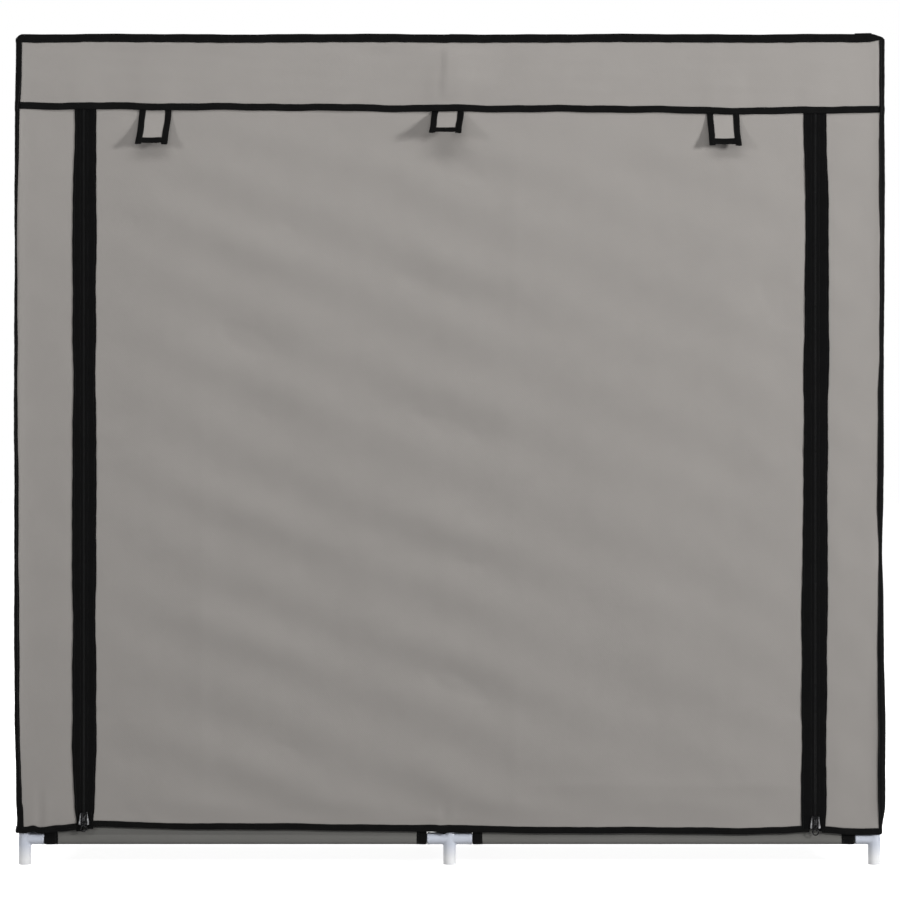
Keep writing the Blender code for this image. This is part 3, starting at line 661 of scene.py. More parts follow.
def thread(name, colour):
    """Twisted sewing thread."""
    finish = Finish(name, 0.6, specular=0.2)
    twist = finish.add("TexWave", {"Vector": finish.coordinates(turn=38), "Scale": 260.0}, wave_type="BANDS")
    finish.colour(finish.shades(twist.outputs["Fac"], colour, 0.6, 1.6))
    finish.emboss(twist.outputs["Fac"], 0.08 * MM, 0.6)
    return finish.material


def moulded(name, colour, floor_lit_colour, roughness, grain=0.02):
    """Moulded plastic: satin, with a faint grain, sink marks and handling dirt; paler towards the floor,
    which is painted light from the floor below.
    """
    finish = Finish(name, roughness, specular=0.5)
    place = finish.coordinates("Object")
    fine = finish.noise(place, 2600, 3, 0.6)
    flow = finish.noise(place, 45, 4, 0.55, 0.5)
    dirt = finish.noise(place, 17, 6, 0.7)
    height = finish.add("SeparateXYZ", {"Vector": place}).outputs["Z"]
    # Fades from the pale colour at the feet to the darker colour higher up: painted light from the floor, and
    # painted shade above it.
    floor_lit_base = finish.tint(finish.ramp(height, *FLOOR_LIT_FADE_Z), floor_lit_colour, colour)
    toned = finish.tint(finish.ramp(flow, 0.35, 0.7, 0.0, 0.05), floor_lit_base, (0, 0, 0))
    finish.colour(finish.tint(finish.ramp(dirt, 0.58, 0.85, 0.0, 0.25), toned, shade(colour, 0.86)))
    finish.rough(finish.ramp(flow, 0.3, 0.7, roughness - 0.06, roughness + 0.08))
    finish.emboss(fine, grain * MM, 0.5)
    finish.emboss(flow, 0.25 * MM, 0.2)
    return finish.material


def coated_steel(name, colour):
    """Thin steel tube with a smooth grey coat, with drawn streaks and small scuffs."""
    finish = Finish(name, 0.36, metallic=0.35)
    streaks = finish.noise(finish.coordinates(scale=(1, 40, 1)), 30, 3, 0.6)
    scuffs = finish.noise(finish.coordinates(), 90, 6, 0.7, 1.0)
    base = finish.shades(finish.ramp(streaks, 0.35, 0.65), colour, 0.92, 1.06)
    finish.colour(finish.tint(finish.ramp(scuffs, 0.6, 0.72, 0.0, 0.5), base, shade(colour, 0.7)))
    finish.rough(finish.ramp(scuffs, 0.4, 0.75, 0.3, 0.55))
    finish.emboss(scuffs, 0.05 * MM, 0.3)
    return finish.material


def plated(name, colour):
    """Dark plated zinc casting, polished where it rubs."""
    finish = Finish(name, 0.3, metallic=1.0)
    place = finish.coordinates("Object")
    cast = finish.noise(place, 900, 4, 0.6)
    rub = finish.noise(place, 240, 4, 0.6, 0.6)
    finish.colour(finish.shades(finish.ramp(rub, 0.45, 0.7), colour, 1, 2.6))
    finish.rough(finish.ramp(rub, 0.35, 0.7, 0.38, 0.22))
    finish.emboss(cast, 0.02 * MM, 0.25)
    return finish.material


def nylon(name, colour):
    """Black nylon coil of a zip, slightly glossy."""
    finish = Finish(name, 0.42, specular=0.12)
    place = finish.coordinates("Object")
    wear = finish.noise(place, 300, 3, 0.6)
    finish.colour(finish.shades(finish.ramp(wear, 0.4, 0.7), colour, 0.8, 1.7))
    finish.rough(finish.ramp(wear, 0.3, 0.7, 0.34, 0.55))
    return finish.material


GREY_CLOTH = (0.300, 0.283, 0.268)
COVER = nonwoven("cover_nonwoven", GREY_CLOTH)
# The shelves' cloth is the cover's grey darkened to about half, standing in for the shade under the cover's
# hem: painted shade.
SHADED_SHELF = nonwoven("shaded_shelf_nonwoven", (0.138, 0.136, 0.128), 0.05)
STRAP = nonwoven("strap_nonwoven", GREY_CLOTH, 0.03)
BINDING = tape_weave("binding_tape", (0.0030, 0.0030, 0.0030), 0.9 * MM)
ZIP_TAPE = tape_weave("zip_tape", (0.0013, 0.0013, 0.0014), 0.6 * MM)
THREAD = thread("black_thread", (0.0050, 0.0050, 0.0052))
# The darker bluish grey stands in for the shade under the cover's hem, and the pale grey at the feet stands
# in for light from the floor: painted shade and painted light.
FLOOR_LIT_FADE_Z = (8 * MM, 27 * MM)
PLASTIC = moulded("frame_plastic", (0.60, 0.635, 0.72), (0.92, 0.925, 0.94), 0.36)
STEEL = coated_steel("coated_tube", (0.50, 0.51, 0.54))
METAL = plated("zip_metal", (0.008, 0.008, 0.0085))
# Bright metal for the front-facing flanks of the castings: painted highlight, partly rubbed wear.
WORN_HIGHLIT_METAL = plated("worn_highlit_zip_metal", (0.14, 0.14, 0.145))
NYLON = nylon("zip_nylon", (0.0026, 0.0026, 0.0028))


# Door

DOOR_STEP = 5 * MM


def grid_steps(start, end, step):
    return np.linspace(start, end, round((end - start) / step) + 1)


def add_door():
    """Door cloth from its bound hem up behind the header."""
    x = grid_steps(-DOOR_EDGE_X, DOOR_EDGE_X, DOOR_STEP)[None, :]
    share = np.linspace(0, 1, DOOR_ROWS)[:, None]
    low = door_hem_z(x)
    z = low + (HEADER_Z + HEM_OVERLAP - low) * share
    door = cover_cloth("door_cloth", "door_panel", (x, FRONT_Y - door_relief(x, z), z), x, z)
    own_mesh(door)
    return door


def add_door_hem():
    """Binding of the door's lower edge, by which the door is rolled up."""
    def place(t, a, h):
        width = 1 - 0.15 * rise(-t, 250, 440) + 0.15 * bump(t, -4, 50)
        knot = 2.0 * MM * bump(t, DOOR_KNOT_MM, 3.6) * (1 - a / HEM_WIDTH)
        z = door_hem_z(t) + (a - HEM_WIDTH / 2) * width - knot
        return t, FRONT_Y + CLOTH / 2 - h - 0.3 * knot, z

    shape = Shape()
    proud = CLOTH / 2 + BINDING_RISE * 0.7
    shape.fold(place, -DOOR_EDGE_X, DOOR_EDGE_X, HEM_WIDTH, proud, proud, 71)
    return bound_edge(shape, "door_hem_binding", "door_hem", body="door_hem")


# Zips

TAPE_SHARES = ((0.09, 0.1), (0.09, 0.75), (0.14, 1.0), (0.25, 0.95), (0.31, 0.45), (0.36, 0.62), (0.8, 0.62))
TAPE_EDGE_SHARES = ((0.84, 0.5), (0.88, 0.95), (0.97, 0.9), (1.0, 0.35), (1.0, 0.1))
TAPE_SEAMS = ((0.335, 0.5 * MM), (0.82, 0.55 * MM))
TAPE_RISE = 1.0 * MM
TAPE_EDGE_Z = (56, 82, 120, 165, 880, 1000)
TAPE_EDGES = {
    ("left", "door"): (-3.4, -1.6, -0.8, 0.6, 0.4, 1.4),
    ("left", "strip"): (-5.6, -3.0, -1.7, 0.2, -0.6, -2.8),
    ("right", "door"): (2.6, 3.2, 3.6, 2.6, -2.0, -0.6),
    ("right", "strip"): (-1.8, -0.6, -0.8, 0.2, 2.8, -1.6),
}
TOOTH_PITCH = 1.3 * MM
TOOTH_ROOT = 2.4 * MM
TOOTH_TIP = 0.55 * MM
TOOTH_HALF = 0.27 * MM
TOOTH_HEAD = 0.42 * MM
TOOTH_DEPTHS = np.array([0.35, 0.5, 0.62, 0.4]) * MM


def zip_section():
    """Section of one zip tape, from its cord beside the teeth to its sewn outer edge."""
    return np.array([(TAPE_REACH * a, TAPE_RISE * h) for a, h in TAPE_SHARES + TAPE_EDGE_SHARES])


def add_zip_half(column, part, inward):
    """One tape of a zip with its coil of teeth, on the door's side or the strip's."""
    side = SIDES[column]
    away = -side if inward else side
    centre = side * ZIP_X
    seed = 81 + 7 * side + 3 * inward
    low = TAPE_LOW_Z + (3 * MM if inward else 0)

    def place(t, a, h):
        drawn = eased(t, TAPE_EDGE_Z, TAPE_EDGES[column, part])
        drawn = drawn + uneven(t, seed, *WOBBLE_MM)
        reach = a + drawn * eased_step((a / TAPE_REACH - 0.3) / 0.5)
        return centre + away * reach, FRONT_Y - SEAM_GAP - h, t

    tape = Shape()
    rows = [(TAPE_REACH * share, height) for share, height in TAPE_SEAMS]
    tape.tape(place, low, HEADER_Z + HEM_OVERLAP, zip_section(), seed, step=8 * MM, rows=rows)
    tape_piece = tape.piece(f"{column}_{part}_zip_tape", ZIP_TAPE, THREAD)

    teeth = Shape()
    slider_z = middle(f"{column}_slider").z
    start = TAPE_LOW_Z + 2 * MM
    count = int((HEADER_Z + HEM_OVERLAP - 1 * MM - start) / TOOTH_PITCH)
    z = start + TOOTH_PITCH * (np.arange(count) + (0.5 if inward else 0.0))
    open_gap = 1.2 * MM * rise(slider_z - z, 0, 14)
    reach = np.array([TOOTH_ROOT, TOOTH_ROOT * 0.5, 0.1 * MM, -TOOTH_TIP])
    half = np.array([TOOTH_HALF, TOOTH_HALF, TOOTH_HEAD, TOOTH_HALF * 0.7])
    x = centre + away * (reach[None, :, None] + open_gap[:, None, None])
    dz = half[None, :, None] * np.array([-1, 1, 1, -1])
    dy = TOOTH_DEPTHS[None, :, None] * np.array([-1, -1, 1, 1])
    y = FRONT_Y - SEAM_GAP - 0.45 * MM + dy
    z = z[:, None, None] + dz
    teeth.bars((x, y, z), z, x)
    teeth_piece = teeth.piece(f"{column}_{part}_zip_teeth", NYLON)
    for piece in (tape_piece, teeth_piece):
        settle(piece, "zip_tape")
        if inward:
            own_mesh(piece)
    if not inward:
        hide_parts(f"{column}_zip_tape")
    return tape_piece


# Of each casting: its name, the size of its voxels, and the share of its half width past which it is worn and
# painted with highlights
CASTINGS = {"slider": ("slider_body", 0.22 * MM, 0.64), "pull": ("pull_tab", 0.18 * MM, 1.0)}
WORN_HIGHLIT_LEAN = 0.3
WORN_HIGHLIT_LIMIT = 0.93
HIGHLIT_FACING = -0.12


def casting(name, node, voxel, worn_highlit_share):
    """A metal casting in the shape of its CAD node, with soft edges, and bright flanks and slants where they
    face the front: partly rubbed wear, partly painted highlight.
    """
    mesh = frame["nodes"][node].data.copy()
    mesh.name = name
    piece = linked(name, mesh)
    mesh.materials.clear()
    mesh.materials.append(METAL)
    mesh.materials.append(WORN_HIGHLIT_METAL)
    modify(piece, "WELD", merge_threshold=0.01 * MM)
    modify(piece, "REMESH", mode="VOXEL", voxel_size=voxel, use_smooth_shade=True)
    modify(piece, "SMOOTH", factor=0.5, iterations=3)
    bake_modifiers(piece)
    ends = [vertex.co.x for vertex in piece.data.vertices]
    centre, half = (min(ends) + max(ends)) / 2, (max(ends) - min(ends)) / 2
    # Flanks and sideways slants that turn towards the front get the bright metal: painted highlight, with
    # some edge wear.
    for polygon in piece.data.polygons:
        slanted = WORN_HIGHLIT_LEAN < abs(polygon.normal.x) < WORN_HIGHLIT_LIMIT
        flank = abs(polygon.center.x - centre) > worn_highlit_share * half
        if (slanted or flank) and polygon.normal.y < HIGHLIT_FACING:
            polygon.material_index = 1
    settle(piece, "zip_metal", node, body=node)


# Header, roof, sides and back

HEADER_STEP = 4.4 * MM


def add_header():
    """Header cloth across the front, sewn in at the top and the corners, with a bound lower edge."""
    end = FLAT_X + HEADER_STEP
    x = grid_steps(-end, end, HEADER_STEP)[None, :]
    share = np.linspace(0, 1, HEADER_ROWS)[:, None]
    low = header_hem_z(x)
    z = low + (ROOF_Z + 2 * MM - low) * share
    plan_x, plan_y = across_front(x, CLOTH + header_relief(x, z))
    header = cover_cloth("header_cloth", "header_panel", (plan_x, plan_y, z), x, z)

    def place(t, a, h):
        z = header_hem_z(t) - HEM_WIDTH / 2 + a
        plan_x, plan_y = across_front(t, CLOTH / 2 + header_relief(t, z) + h)
        return plan_x, plan_y, z

    tape = Shape()
    front, back = CLOTH / 2 + BINDING_RISE * 0.65, CLOTH / 2 + 0.3 * MM
    seam = (HEM_WIDTH * SEAM_SHARE, front * SEAM_HEIGHT_SHARE)
    end = FLAT_X + 3.6 * MM
    tape.fold(place, -end, end, HEM_WIDTH + 0.4 * MM, front, back, 91, seam=seam)
    return header, bound_edge(tape, "header_hem_binding")


def add_side(column, side):
    """Side cloth with the strip beside the zip and both corners, in one piece, and its bindings."""
    start = ZIP_X + 8 * MM - FLAT_X
    s = np.concatenate([
        grid_steps(start, -3 * MM, 4.5 * MM)[:-1],
        grid_steps(-3 * MM, QUARTER + 3 * MM, 1.2 * MM)[:-1],
        grid_steps(QUARTER + 3 * MM, REAR_CORNER_S - 2 * MM, 6 * MM)[:-1],
        grid_steps(REAR_CORNER_S - 2 * MM, WRAP_END_S + 1.6 * MM, 1.2 * MM),
    ])[None, :]
    share = np.linspace(0, 1, SIDE_ROWS)[:, None]
    low = strip_hem_z(side, s)
    z = low + (ROOF_Z - 0.3 * MM - low) * share
    x, y = wrap(side, s, side_relief(side, s, z))
    cloth = cover_cloth(f"{column}_side_cloth", f"{column}_side_panel", (x, y, z), side * s, z, side < 0)

    def on_cloth(s, z, h):
        x, y = wrap(side, s, side_relief(side, s, z) + h)
        return x, y, z

    def hem_place(t, a, h):
        z = strip_hem_z(side, t) - HEM_WIDTH / 2 + a
        return on_cloth(t, z, h - CLOTH / 2)

    def front_place(t, a, h):
        hem_z = header_hem_z(side * FLAT_X)
        lift = (CLOTH + 0.15 * MM) * rise(t - hem_z, -9, -4)
        lift = lift + 1.1 * MM * block(t - hem_z, 5.5)
        s = corner_seam_s(side, t) + a
        return on_cloth(s, t, h + lift * (1 - 0.85 * rise(s, 2.5, 8)))

    def rear_place(t, a, h):
        return on_cloth(WRAP_END_S - 1.2 * MM + a + uneven(t, 23 + side, (260,), (0.4,)), t, h)

    rise_out = CLOTH / 2 + BINDING_RISE
    hem, front, rear = Shape(), Shape(), Shape()
    ends = start + 1 * MM, WRAP_END_S + 1.4 * MM
    hem.fold(hem_place, *ends, HEM_WIDTH, rise_out, CLOTH / 2 + 0.4 * MM, 101 + side, TURN_STEP)
    band = band_section(HEM_WIDTH, BINDING_RISE)
    rows = [(HEM_WIDTH * share, BINDING_RISE * 0.6) for share in (-BAND_SEAM_SHARE, BAND_SEAM_SHARE)]
    top = TOP_Z - 5 * MM
    front.tape(front_place, HEM_Z - 3 * MM, top, band, 111 + side, step=TURN_STEP, rows=rows)
    rear.tape(rear_place, HEM_Z - 3 * MM, top, band, 121 + side, rows=rows)
    edges = (hem, "hem"), (front, "front_corner"), (rear, "rear_corner")
    return cloth, [bound_edge(edge, f"{column}_{name}_binding") for edge, name in edges]


BACK_DRAW = 0.25 * MM
BACK_BELLY = 0.35 * MM
BACK_FOLDS_X = (-330 * MM, -110 * MM, 110 * MM, 330 * MM)


def back_relief(x, z):
    """How far the back stands out between the levels, with its waves and pressed folds."""
    pitch = LEVELS[1] - LEVELS[0]
    tier = (z - LEVELS[0]) / pitch
    swell = 2.0 * MM * np.sin(math.pi * tier) ** 2
    waves = 0.9 * MM * np.sin(TAU * (z - 0.35 * x) / (95 * MM) + ripples(x, z, 131, 500, 0.8, 5) / MM)
    folds = sum(1.2 * MM * ridge(x - line, 13) for line in BACK_FOLDS_X)
    folds = folds + sum(0.9 * MM * ridge(z - line, 10) for line in SIDE_FOLDS_Z)
    calm = rise(SIDE_X - np.abs(x), 8, 70) * rise(z - HEM_Z, 0, 40)
    calm = calm * rise(ROOF_Z - z, 0, 50)
    relief = swell + waves + folds + ripples(x, z, 132, 160, 0.5) + BACK_BELLY
    return held_off(relief * calm, BACK_DRAW) + BACK_BELLY * calm


def add_back():
    """Back cloth with its bound lower edge."""
    edge = FLAT_X - 1.7 * MM
    x = grid_steps(-edge, edge, 6 * MM)[None, :]
    z = np.linspace(HEM_Z, ROOF_Z - 0.3 * MM, BACK_ROWS)[:, None]
    back = cover_cloth("back_cloth", "back_panel", (x, BACK_Y + back_relief(x, z), z), x, z, flip=True)

    def place(t, a, h):
        z = HEM_Z - HEM_WIDTH / 2 + a + uneven(t, 133, *WOBBLE_MM)
        return t, BACK_Y - CLOTH / 2 + back_relief(t, z) + h, z

    tape = Shape()
    tape.fold(place, -edge, edge, HEM_WIDTH, CLOTH / 2 + BINDING_RISE, CLOTH / 2 + 0.4 * MM, 134)
    return back, bound_edge(tape, "back_hem_binding")


def roof_sag(x, y):
    """The roof hangs between the capped posts and the tubes that join them."""
    bay = np.sin(math.pi * np.abs(x) / POST_X) ** 2
    depth = np.clip((y - FRONT_POST_Y) / (REAR_POST_Y - FRONT_POST_Y), 0, 1)
    trough = np.sin(math.pi * depth)
    wrinkles = ripples(x, y, 141, 120, 0.5) + 0.35 * MM * np.sin(TAU * (x + 0.8 * y) / (74 * MM))
    near_edge = rise(SIDE_X - np.abs(x), 0, 30) * rise(y - FRONT_Y, 0, 25) * rise(BACK_Y - y, 0, 25)
    posts = bump(np.minimum(np.abs(x), np.abs(np.abs(x) - POST_X)), 0, 22)
    posts = posts * bump(np.minimum(np.abs(y - FRONT_POST_Y), np.abs(y - REAR_POST_Y)), 0, 22)
    wrinkles = (wrinkles - 0.6 * MM) * near_edge * (1 - posts)
    return 0.5 * MM * posts - (5.5 * MM * bay * trough + 1.2 * MM * trough) + wrinkles


SEAM_START_X = 537 * MM
SEAM_OVERLAP = 22 * MM


def add_roof():
    """Roof cloth and the standing seam bound round it."""
    x = grid_steps(-SIDE_X, SIDE_X, 8 * MM)[None, :]
    y = grid_steps(FRONT_Y, BACK_Y, 8 * MM)[:, None]
    over_x = np.maximum(np.abs(x) - FLAT_X, 0)
    centre_y = np.clip(y, FRONT_Y + CORNER, BACK_Y - CORNER)
    over_y = np.abs(y - centre_y)
    reach = np.maximum(np.hypot(over_x, over_y), CORNER)
    round_x = np.sign(x) * (np.minimum(np.abs(x), FLAT_X) + over_x * CORNER / reach)
    round_y = centre_y + np.sign(y - centre_y) * over_y * CORNER / reach
    roof = cover_cloth("roof_cloth", "roof_panel", (round_x, round_y, ROOF_Z + roof_sag(x, y)), x, y)

    half = FLAT_X + WRAP_END_S + FLAT_X

    def place(t, a, h):
        """t runs right from the front's middle, round the roof and back to where it began."""
        t = (t + SEAM_START_X) % (2 * half)
        side = np.where(t < half, 1.0, -1.0)
        s = np.where(t < half, t, 2 * half - t) - FLAT_X
        into, past = s - REAR_CORNER_S - QUARTER / 2, s - QUARTER
        start = np.where(side > 0, -11 * MM, -2 * MM)
        corner = eased_step((s - start) / (QUARTER - start)) * rise(46 * MM - past, 0, 40) + bump(into, 0, 9)
        right_end = np.where(side > 0, rise(s, -14, 2) * rise(40 * MM - s, 0, 30), 0.0)
        z = TOP_Z + SEAM_LIFT + uneven(t, 151, (310, 120, 41), (0.4, 0.25, 0.1))
        z = z - 4.4 * MM * corner
        x, y = wrap(side, s, h)
        return x, y, z - a * (1 - 0.3 * right_end - 0.2 * corner)

    def lap_place(t, a, h):
        return place(t, a - 0.9 * MM, h)

    seam = Shape()
    seam.fold(place, 0, 2 * half, SEAM_WIDTH, SEAM_FRONT, SEAM_PROUD, 152, TURN_STEP)
    lap = SEAM_WIDTH + 0.6 * MM, SEAM_FRONT + 0.5 * MM, SEAM_PROUD + 0.5 * MM
    row = (SEAM_WIDTH * SEAM_SHARE, SEAM_FRONT * SEAM_HEIGHT_SHARE)
    seam.fold(lap_place, 0, SEAM_OVERLAP, *lap, 153, TURN_STEP, row)
    return roof, bound_edge(seam, "top_seam_binding", "top_seam")


# Straps

STRAP_WIDTH = 42.4 * MM
STRAP_LENGTH = {"left": 46 * MM, "middle": 42.2 * MM, "right": 46.5 * MM}
STRAP_THICK = 1.1 * MM
STRAP_ROOT = 5 * MM
STRAP_EDGE = 8.4 * MM
STRAP_LEAN_DEG = {"left": (16, 34), "middle": (46, 51), "right": (12, 30)}
STRAP_BEND_MM = {"left": (1, 9), "middle": (-1, 3), "right": (1, 9)}
STRAP_TAIL = {-1: 1.6 * MM, 1: 2.2 * MM}
STRAP_SKEW_SHARE = {"left": -0.085, "middle": -0.08, "right": 0.045}


def strap_place(name):
    """Place on a strap from the distance t down from its root, across it, and out from its middle layer."""
    axis = STRAP_AXES[name]
    start, end = (math.radians(angle) for angle in STRAP_LEAN_DEG[name])
    steps = np.linspace(-STRAP_ROOT, STRAP_LENGTH[name] + 6 * MM, 140)
    share = np.clip(steps / STRAP_LENGTH[name], 0, 1.1)
    lean = np.where(steps < 0, 0.0, (start + (end - start) * share) * rise(steps, *STRAP_BEND_MM[name]))
    gap = np.diff(steps, prepend=steps[0])
    down = np.cumsum(np.cos(lean) * gap)
    down = down - np.interp(0, steps, down)
    out = np.cumsum(np.sin(lean) * gap)

    def place(t, x, h):
        angle = np.interp(t, steps, lean)
        y = axis.y - STRAP_THICK * 0.75 - np.interp(t, steps, out) - h * np.cos(angle)
        z = axis.z - np.interp(t, steps, down) + h * np.sin(angle)
        return axis.x + x + STRAP_SKEW_SHARE[name] * np.maximum(t, 0), y, z

    return place


def add_strap(name):
    """A strap that holds the rolled door: doubled cloth, bound on three edges, bending at its root."""
    place = strap_place(name)
    half, length = STRAP_WIDTH / 2, STRAP_LENGTH[name]
    seed = 161 + len(name)
    t = np.linspace(-STRAP_ROOT, length - 1 * MM, 26)[:, None]
    x = np.linspace(-half + 1 * MM, half - 1 * MM, 16)[None, :]
    soft = ripples(x, t, seed, 30, 0.14) * rise(half - 5 * MM - np.abs(x), 0, 5)
    cloth_shape = Shape()
    cloth_shape.patch(place(t, x, STRAP_THICK / 2 + soft), x, -t, flip=True)
    cloth = thicken(cloth_shape.piece(f"{name}_strap_cloth", STRAP, closed=False), STRAP_THICK)
    trim = Shape()
    section = STRAP_EDGE, STRAP_THICK / 2 + 0.95 * MM, STRAP_THICK / 2 + 0.75 * MM
    for edge, tail in STRAP_TAIL.items():
        def side_place(t, a, h, edge=edge):
            return place(t, edge * (half - a + 0.25 * MM * np.sin(t / (6 * MM))), h)

        trim.fold(side_place, -STRAP_ROOT, length + tail, *section, seed + edge, 2.5 * MM)

    def low_place(t, a, h):
        return place(length - a + 0.4 * MM * np.cos(t / (9 * MM)), t, h * 0.93)

    trim.fold(low_place, 3 * MM - half, half - 3 * MM, *section, seed + 5, 2.5 * MM)
    binding = trim.piece(f"{name}_strap_binding", BINDING, THREAD)
    for piece, slot in ((cloth, "strap_cloth"), (binding, "binding_tape")):
        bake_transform(piece)
    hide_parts(f"{name}_strap")


# Sling shelves

SHELF_THICK = 0.75 * MM
SHELF_SAG = 5 * MM
SHELF_EDGE = 14 * MM
SHELF_FAR_EDGE = 17 * MM
SHELF_OVERHANG = 3.5 * MM
SHELF_COLUMNS = 36
MIDDLE_Y = (FRONT_POST_Y + REAR_POST_Y) / 2


def smoothed(path, rounds=2):
    """Softens the turns of a path, keeping its ends."""
    for _ in range(rounds):
        path[1:-1] = path[1:-1] * 0.5 + (path[:-2] + path[2:]) * 0.25
    return path


SLEEVE_PATH = np.array([
    [20.5, 6.4], [14.0, 2.2], [9.0, -2.6], [4.6, -6.2], [0.4, -7.6], [-3.8, -7.7], [-6.4, -7.0], [-7.5, -5.3],
    [-7.6, -3.2], [-7.5, -1.0], [-7.2, 1.2], [-6.7, 3.2], [-5.6, 4.7], [-5.1, 5.3],
]) * MM
LIP_PATH = np.array([
    [-5.7, 6.0], [-6.4, 7.4], [-6.6, 9.4], [-6.0, 11.6], [-4.4, 13.4], [-1.0, 14.4],
    [3.6, 14.4], [8.6, 13.6], [13.8, 12.2], [19.0, 10.2],
]) * MM
LOW_LIP_RISE = 4.2 * MM


def refined(path):
    """Cuts the corners of a path once, keeping its ends."""
    cut = np.stack([path[:-1] * 0.75 + path[1:] * 0.25, path[:-1] * 0.25 + path[1:] * 0.75], axis=1)
    return np.vstack([path[:1], cut.reshape(-1, 2), path[-1:]])


def shelf_path(level):
    """Section of a sling shelf in y and height over the rails: front sleeve, sagging sheet, rear sleeve."""
    half = (REAR_POST_Y - FRONT_POST_Y) / 2
    lip = LIP_PATH.copy()
    if level == 0:
        lip[:, 1] += LOW_LIP_RISE * rise(lip[:, 1], 5, 13) * rise(19 * MM - lip[:, 0], 0, 12)
    front = np.vstack([SLEEVE_PATH, lip]) + [-half, 0]
    flat = np.linspace(25 * MM - half, half - 25 * MM, 16)
    sheet = np.stack([flat, 8.6 * MM - SHELF_SAG * (1 - (flat / (half - 19 * MM)) ** 2)], axis=1)
    rear = front[::-1] * [-1, 1]
    return refined(smoothed(np.vstack([front, sheet, rear]))) + [MIDDLE_Y, 0]


def add_shelf(column, level):
    """One sling shelf with its sleeves round the rails and bound ends."""
    side = SIDES[column]
    seed = 200 + 10 * level + side
    path = shelf_path(level)
    along = np.concatenate([[0.0], np.cumsum(np.hypot(*np.diff(path, axis=0).T))])
    slope = np.gradient(path, along, axis=0)
    normal = np.stack([-slope[:, 1], slope[:, 0]], axis=1)
    normal = normal / np.linalg.norm(normal, axis=1, keepdims=True)
    open_run = rise(126 * MM - np.abs(path[:, 0] - MIDDLE_Y), 0, 30)

    def place(t, x, h):
        y = np.interp(t, along, path[:, 0])
        z = np.interp(t, along, path[:, 1])
        inset = np.clip((np.abs(x) - SHELF_NEAR_X) / (SHELF_FAR_X - SHELF_NEAR_X), 0, 1)
        loose = np.interp(t, along, open_run) * np.sin(math.pi * inset)
        droop = -2.2 * MM * loose + loose * ripples(x, t, seed, 90, 0.55)
        out = h + 0.12 * MM * np.sin(x / (3.1 * MM) + seed) * bump(t - along[4], 0, 14)
        ny, nz = np.interp(t, along, normal[:, 0]), np.interp(t, along, normal[:, 1])
        return x, y + ny * out, LEVELS[level] + z + droop + nz * out

    far_x = SHELF_FAR_X + SHELF_OVERHANG
    x = side * np.linspace(SHELF_NEAR_X + 0.6 * MM, far_x - 0.6 * MM, SHELF_COLUMNS)[None, :]
    shape = Shape()
    shape.patch(place(along[:, None], x, 0.0), x, along[:, None])
    cloth = thicken(shape.piece(f"{column}_shelf_{level}_cloth", SHADED_SHELF, closed=False), SHELF_THICK, 0.0)
    settle(cloth, "shelf_cloth", f"{column}_shelf_{level}")
    trim = Shape()
    for end, inward, width in ((SHELF_NEAR_X, 1, SHELF_EDGE), (far_x, -1, SHELF_FAR_EDGE)):
        def end_place(t, a, h, end=end, inward=inward, width=width):
            slant = 0.8 * MM * np.sin(t / (11 * MM) + end * 9)
            return place(t, side * (end + inward * (a + slant * a / width)), h)

        seam = (width * SEAM_SHARE, 0.55 * MM)
        ends = along[0], along[-1]
        trim.fold(end_place, *ends, width, 0.85 * MM, 0.8 * MM, seed + inward, 1.6 * MM, seam)
    binding = bound_edge(trim, f"{column}_shelf_{level}_binding")


# Frame

SOCKET_LENGTH = 30 * MM
OUTER_ARM_LENGTH = SOCKET_LENGTH - SHELF_OVERHANG - 0.4 * MM
POST_SOCKET_LENGTH = 26 * MM
TUBE_SEAT = 6 * MM
TUBE_WALL = 0.6 * MM
ARM_RADIUS = 8.0 * MM
ARM_MOUTH_RISE = 0.3 * MM
POST_SOCKET_RADIUS = 8.1 * MM
MOUTH_RISE = 0.5 * MM
MOUTH_LENGTH = 3.5 * MM
CONNECTOR_VOXEL = 0.8 * MM
CONNECTOR_SHARE = 0.16
TUBE_SIDES = 28


def add_rod(form, direction, radius, length, mouth=MOUTH_RISE):
    """A socket or stub along a direction, with a thicker mouth at its far end."""
    turn = Vector(direction).to_track_quat("Z", "Y").to_matrix().to_4x4()
    lengths = [(radius, 0, length)]
    if mouth:
        lengths.append((radius + mouth, length - MOUTH_LENGTH, length))
    for size, low, high in lengths:
        matrix = turn @ Matrix.Translation((0, 0, (low + high) / 2))
        ends = {"radius1": size, "radius2": size, "depth": high - low}
        bmesh.ops.create_cone(form, cap_ends=True, segments=40, matrix=matrix, **ends)


def connector(middle_post, place):
    """One moulded connector about its centre: arms for the rails, a depth arm and post sockets."""
    form = bmesh.new()
    add_rod(form, (0, 1, 0), ARM_RADIUS, SOCKET_LENGTH)
    arm_length = SOCKET_LENGTH if middle_post else OUTER_ARM_LENGTH
    add_rod(form, (1, 0, 0), ARM_RADIUS, arm_length, ARM_MOUTH_RISE)
    if middle_post:
        add_rod(form, (-1, 0, 0), ARM_RADIUS, SOCKET_LENGTH, ARM_MOUTH_RISE)
    down = up = (POST_SOCKET_RADIUS, POST_SOCKET_LENGTH)
    if place == "bottom":
        down = (POST_SOCKET_RADIUS + 0.4 * MM, LEVELS[0], 0)
    elif place == "top":
        up = (POST_SOCKET_RADIUS, POST_TOP_Z - LEVELS[-1], 0)
    add_rod(form, (0, 0, -1), *down)
    add_rod(form, (0, 0, 1), *up)
    mesh = bpy.data.meshes.new("connector")
    form.to_mesh(mesh)
    form.free()
    piece = linked("connector", mesh)
    modify(piece, "REMESH", mode="VOXEL", voxel_size=CONNECTOR_VOXEL)
    modify(piece, "SMOOTH", factor=0.5, iterations=5)
    modify(piece, "DECIMATE", ratio=CONNECTOR_SHARE)
    bake_modifiers(piece)
    mesh = piece.data
    points = np.array([vertex.co for vertex in mesh.vertices])
    faces = [tuple(polygon.vertices) for polygon in mesh.polygons]
    bpy.data.objects.remove(piece)
    return points, faces


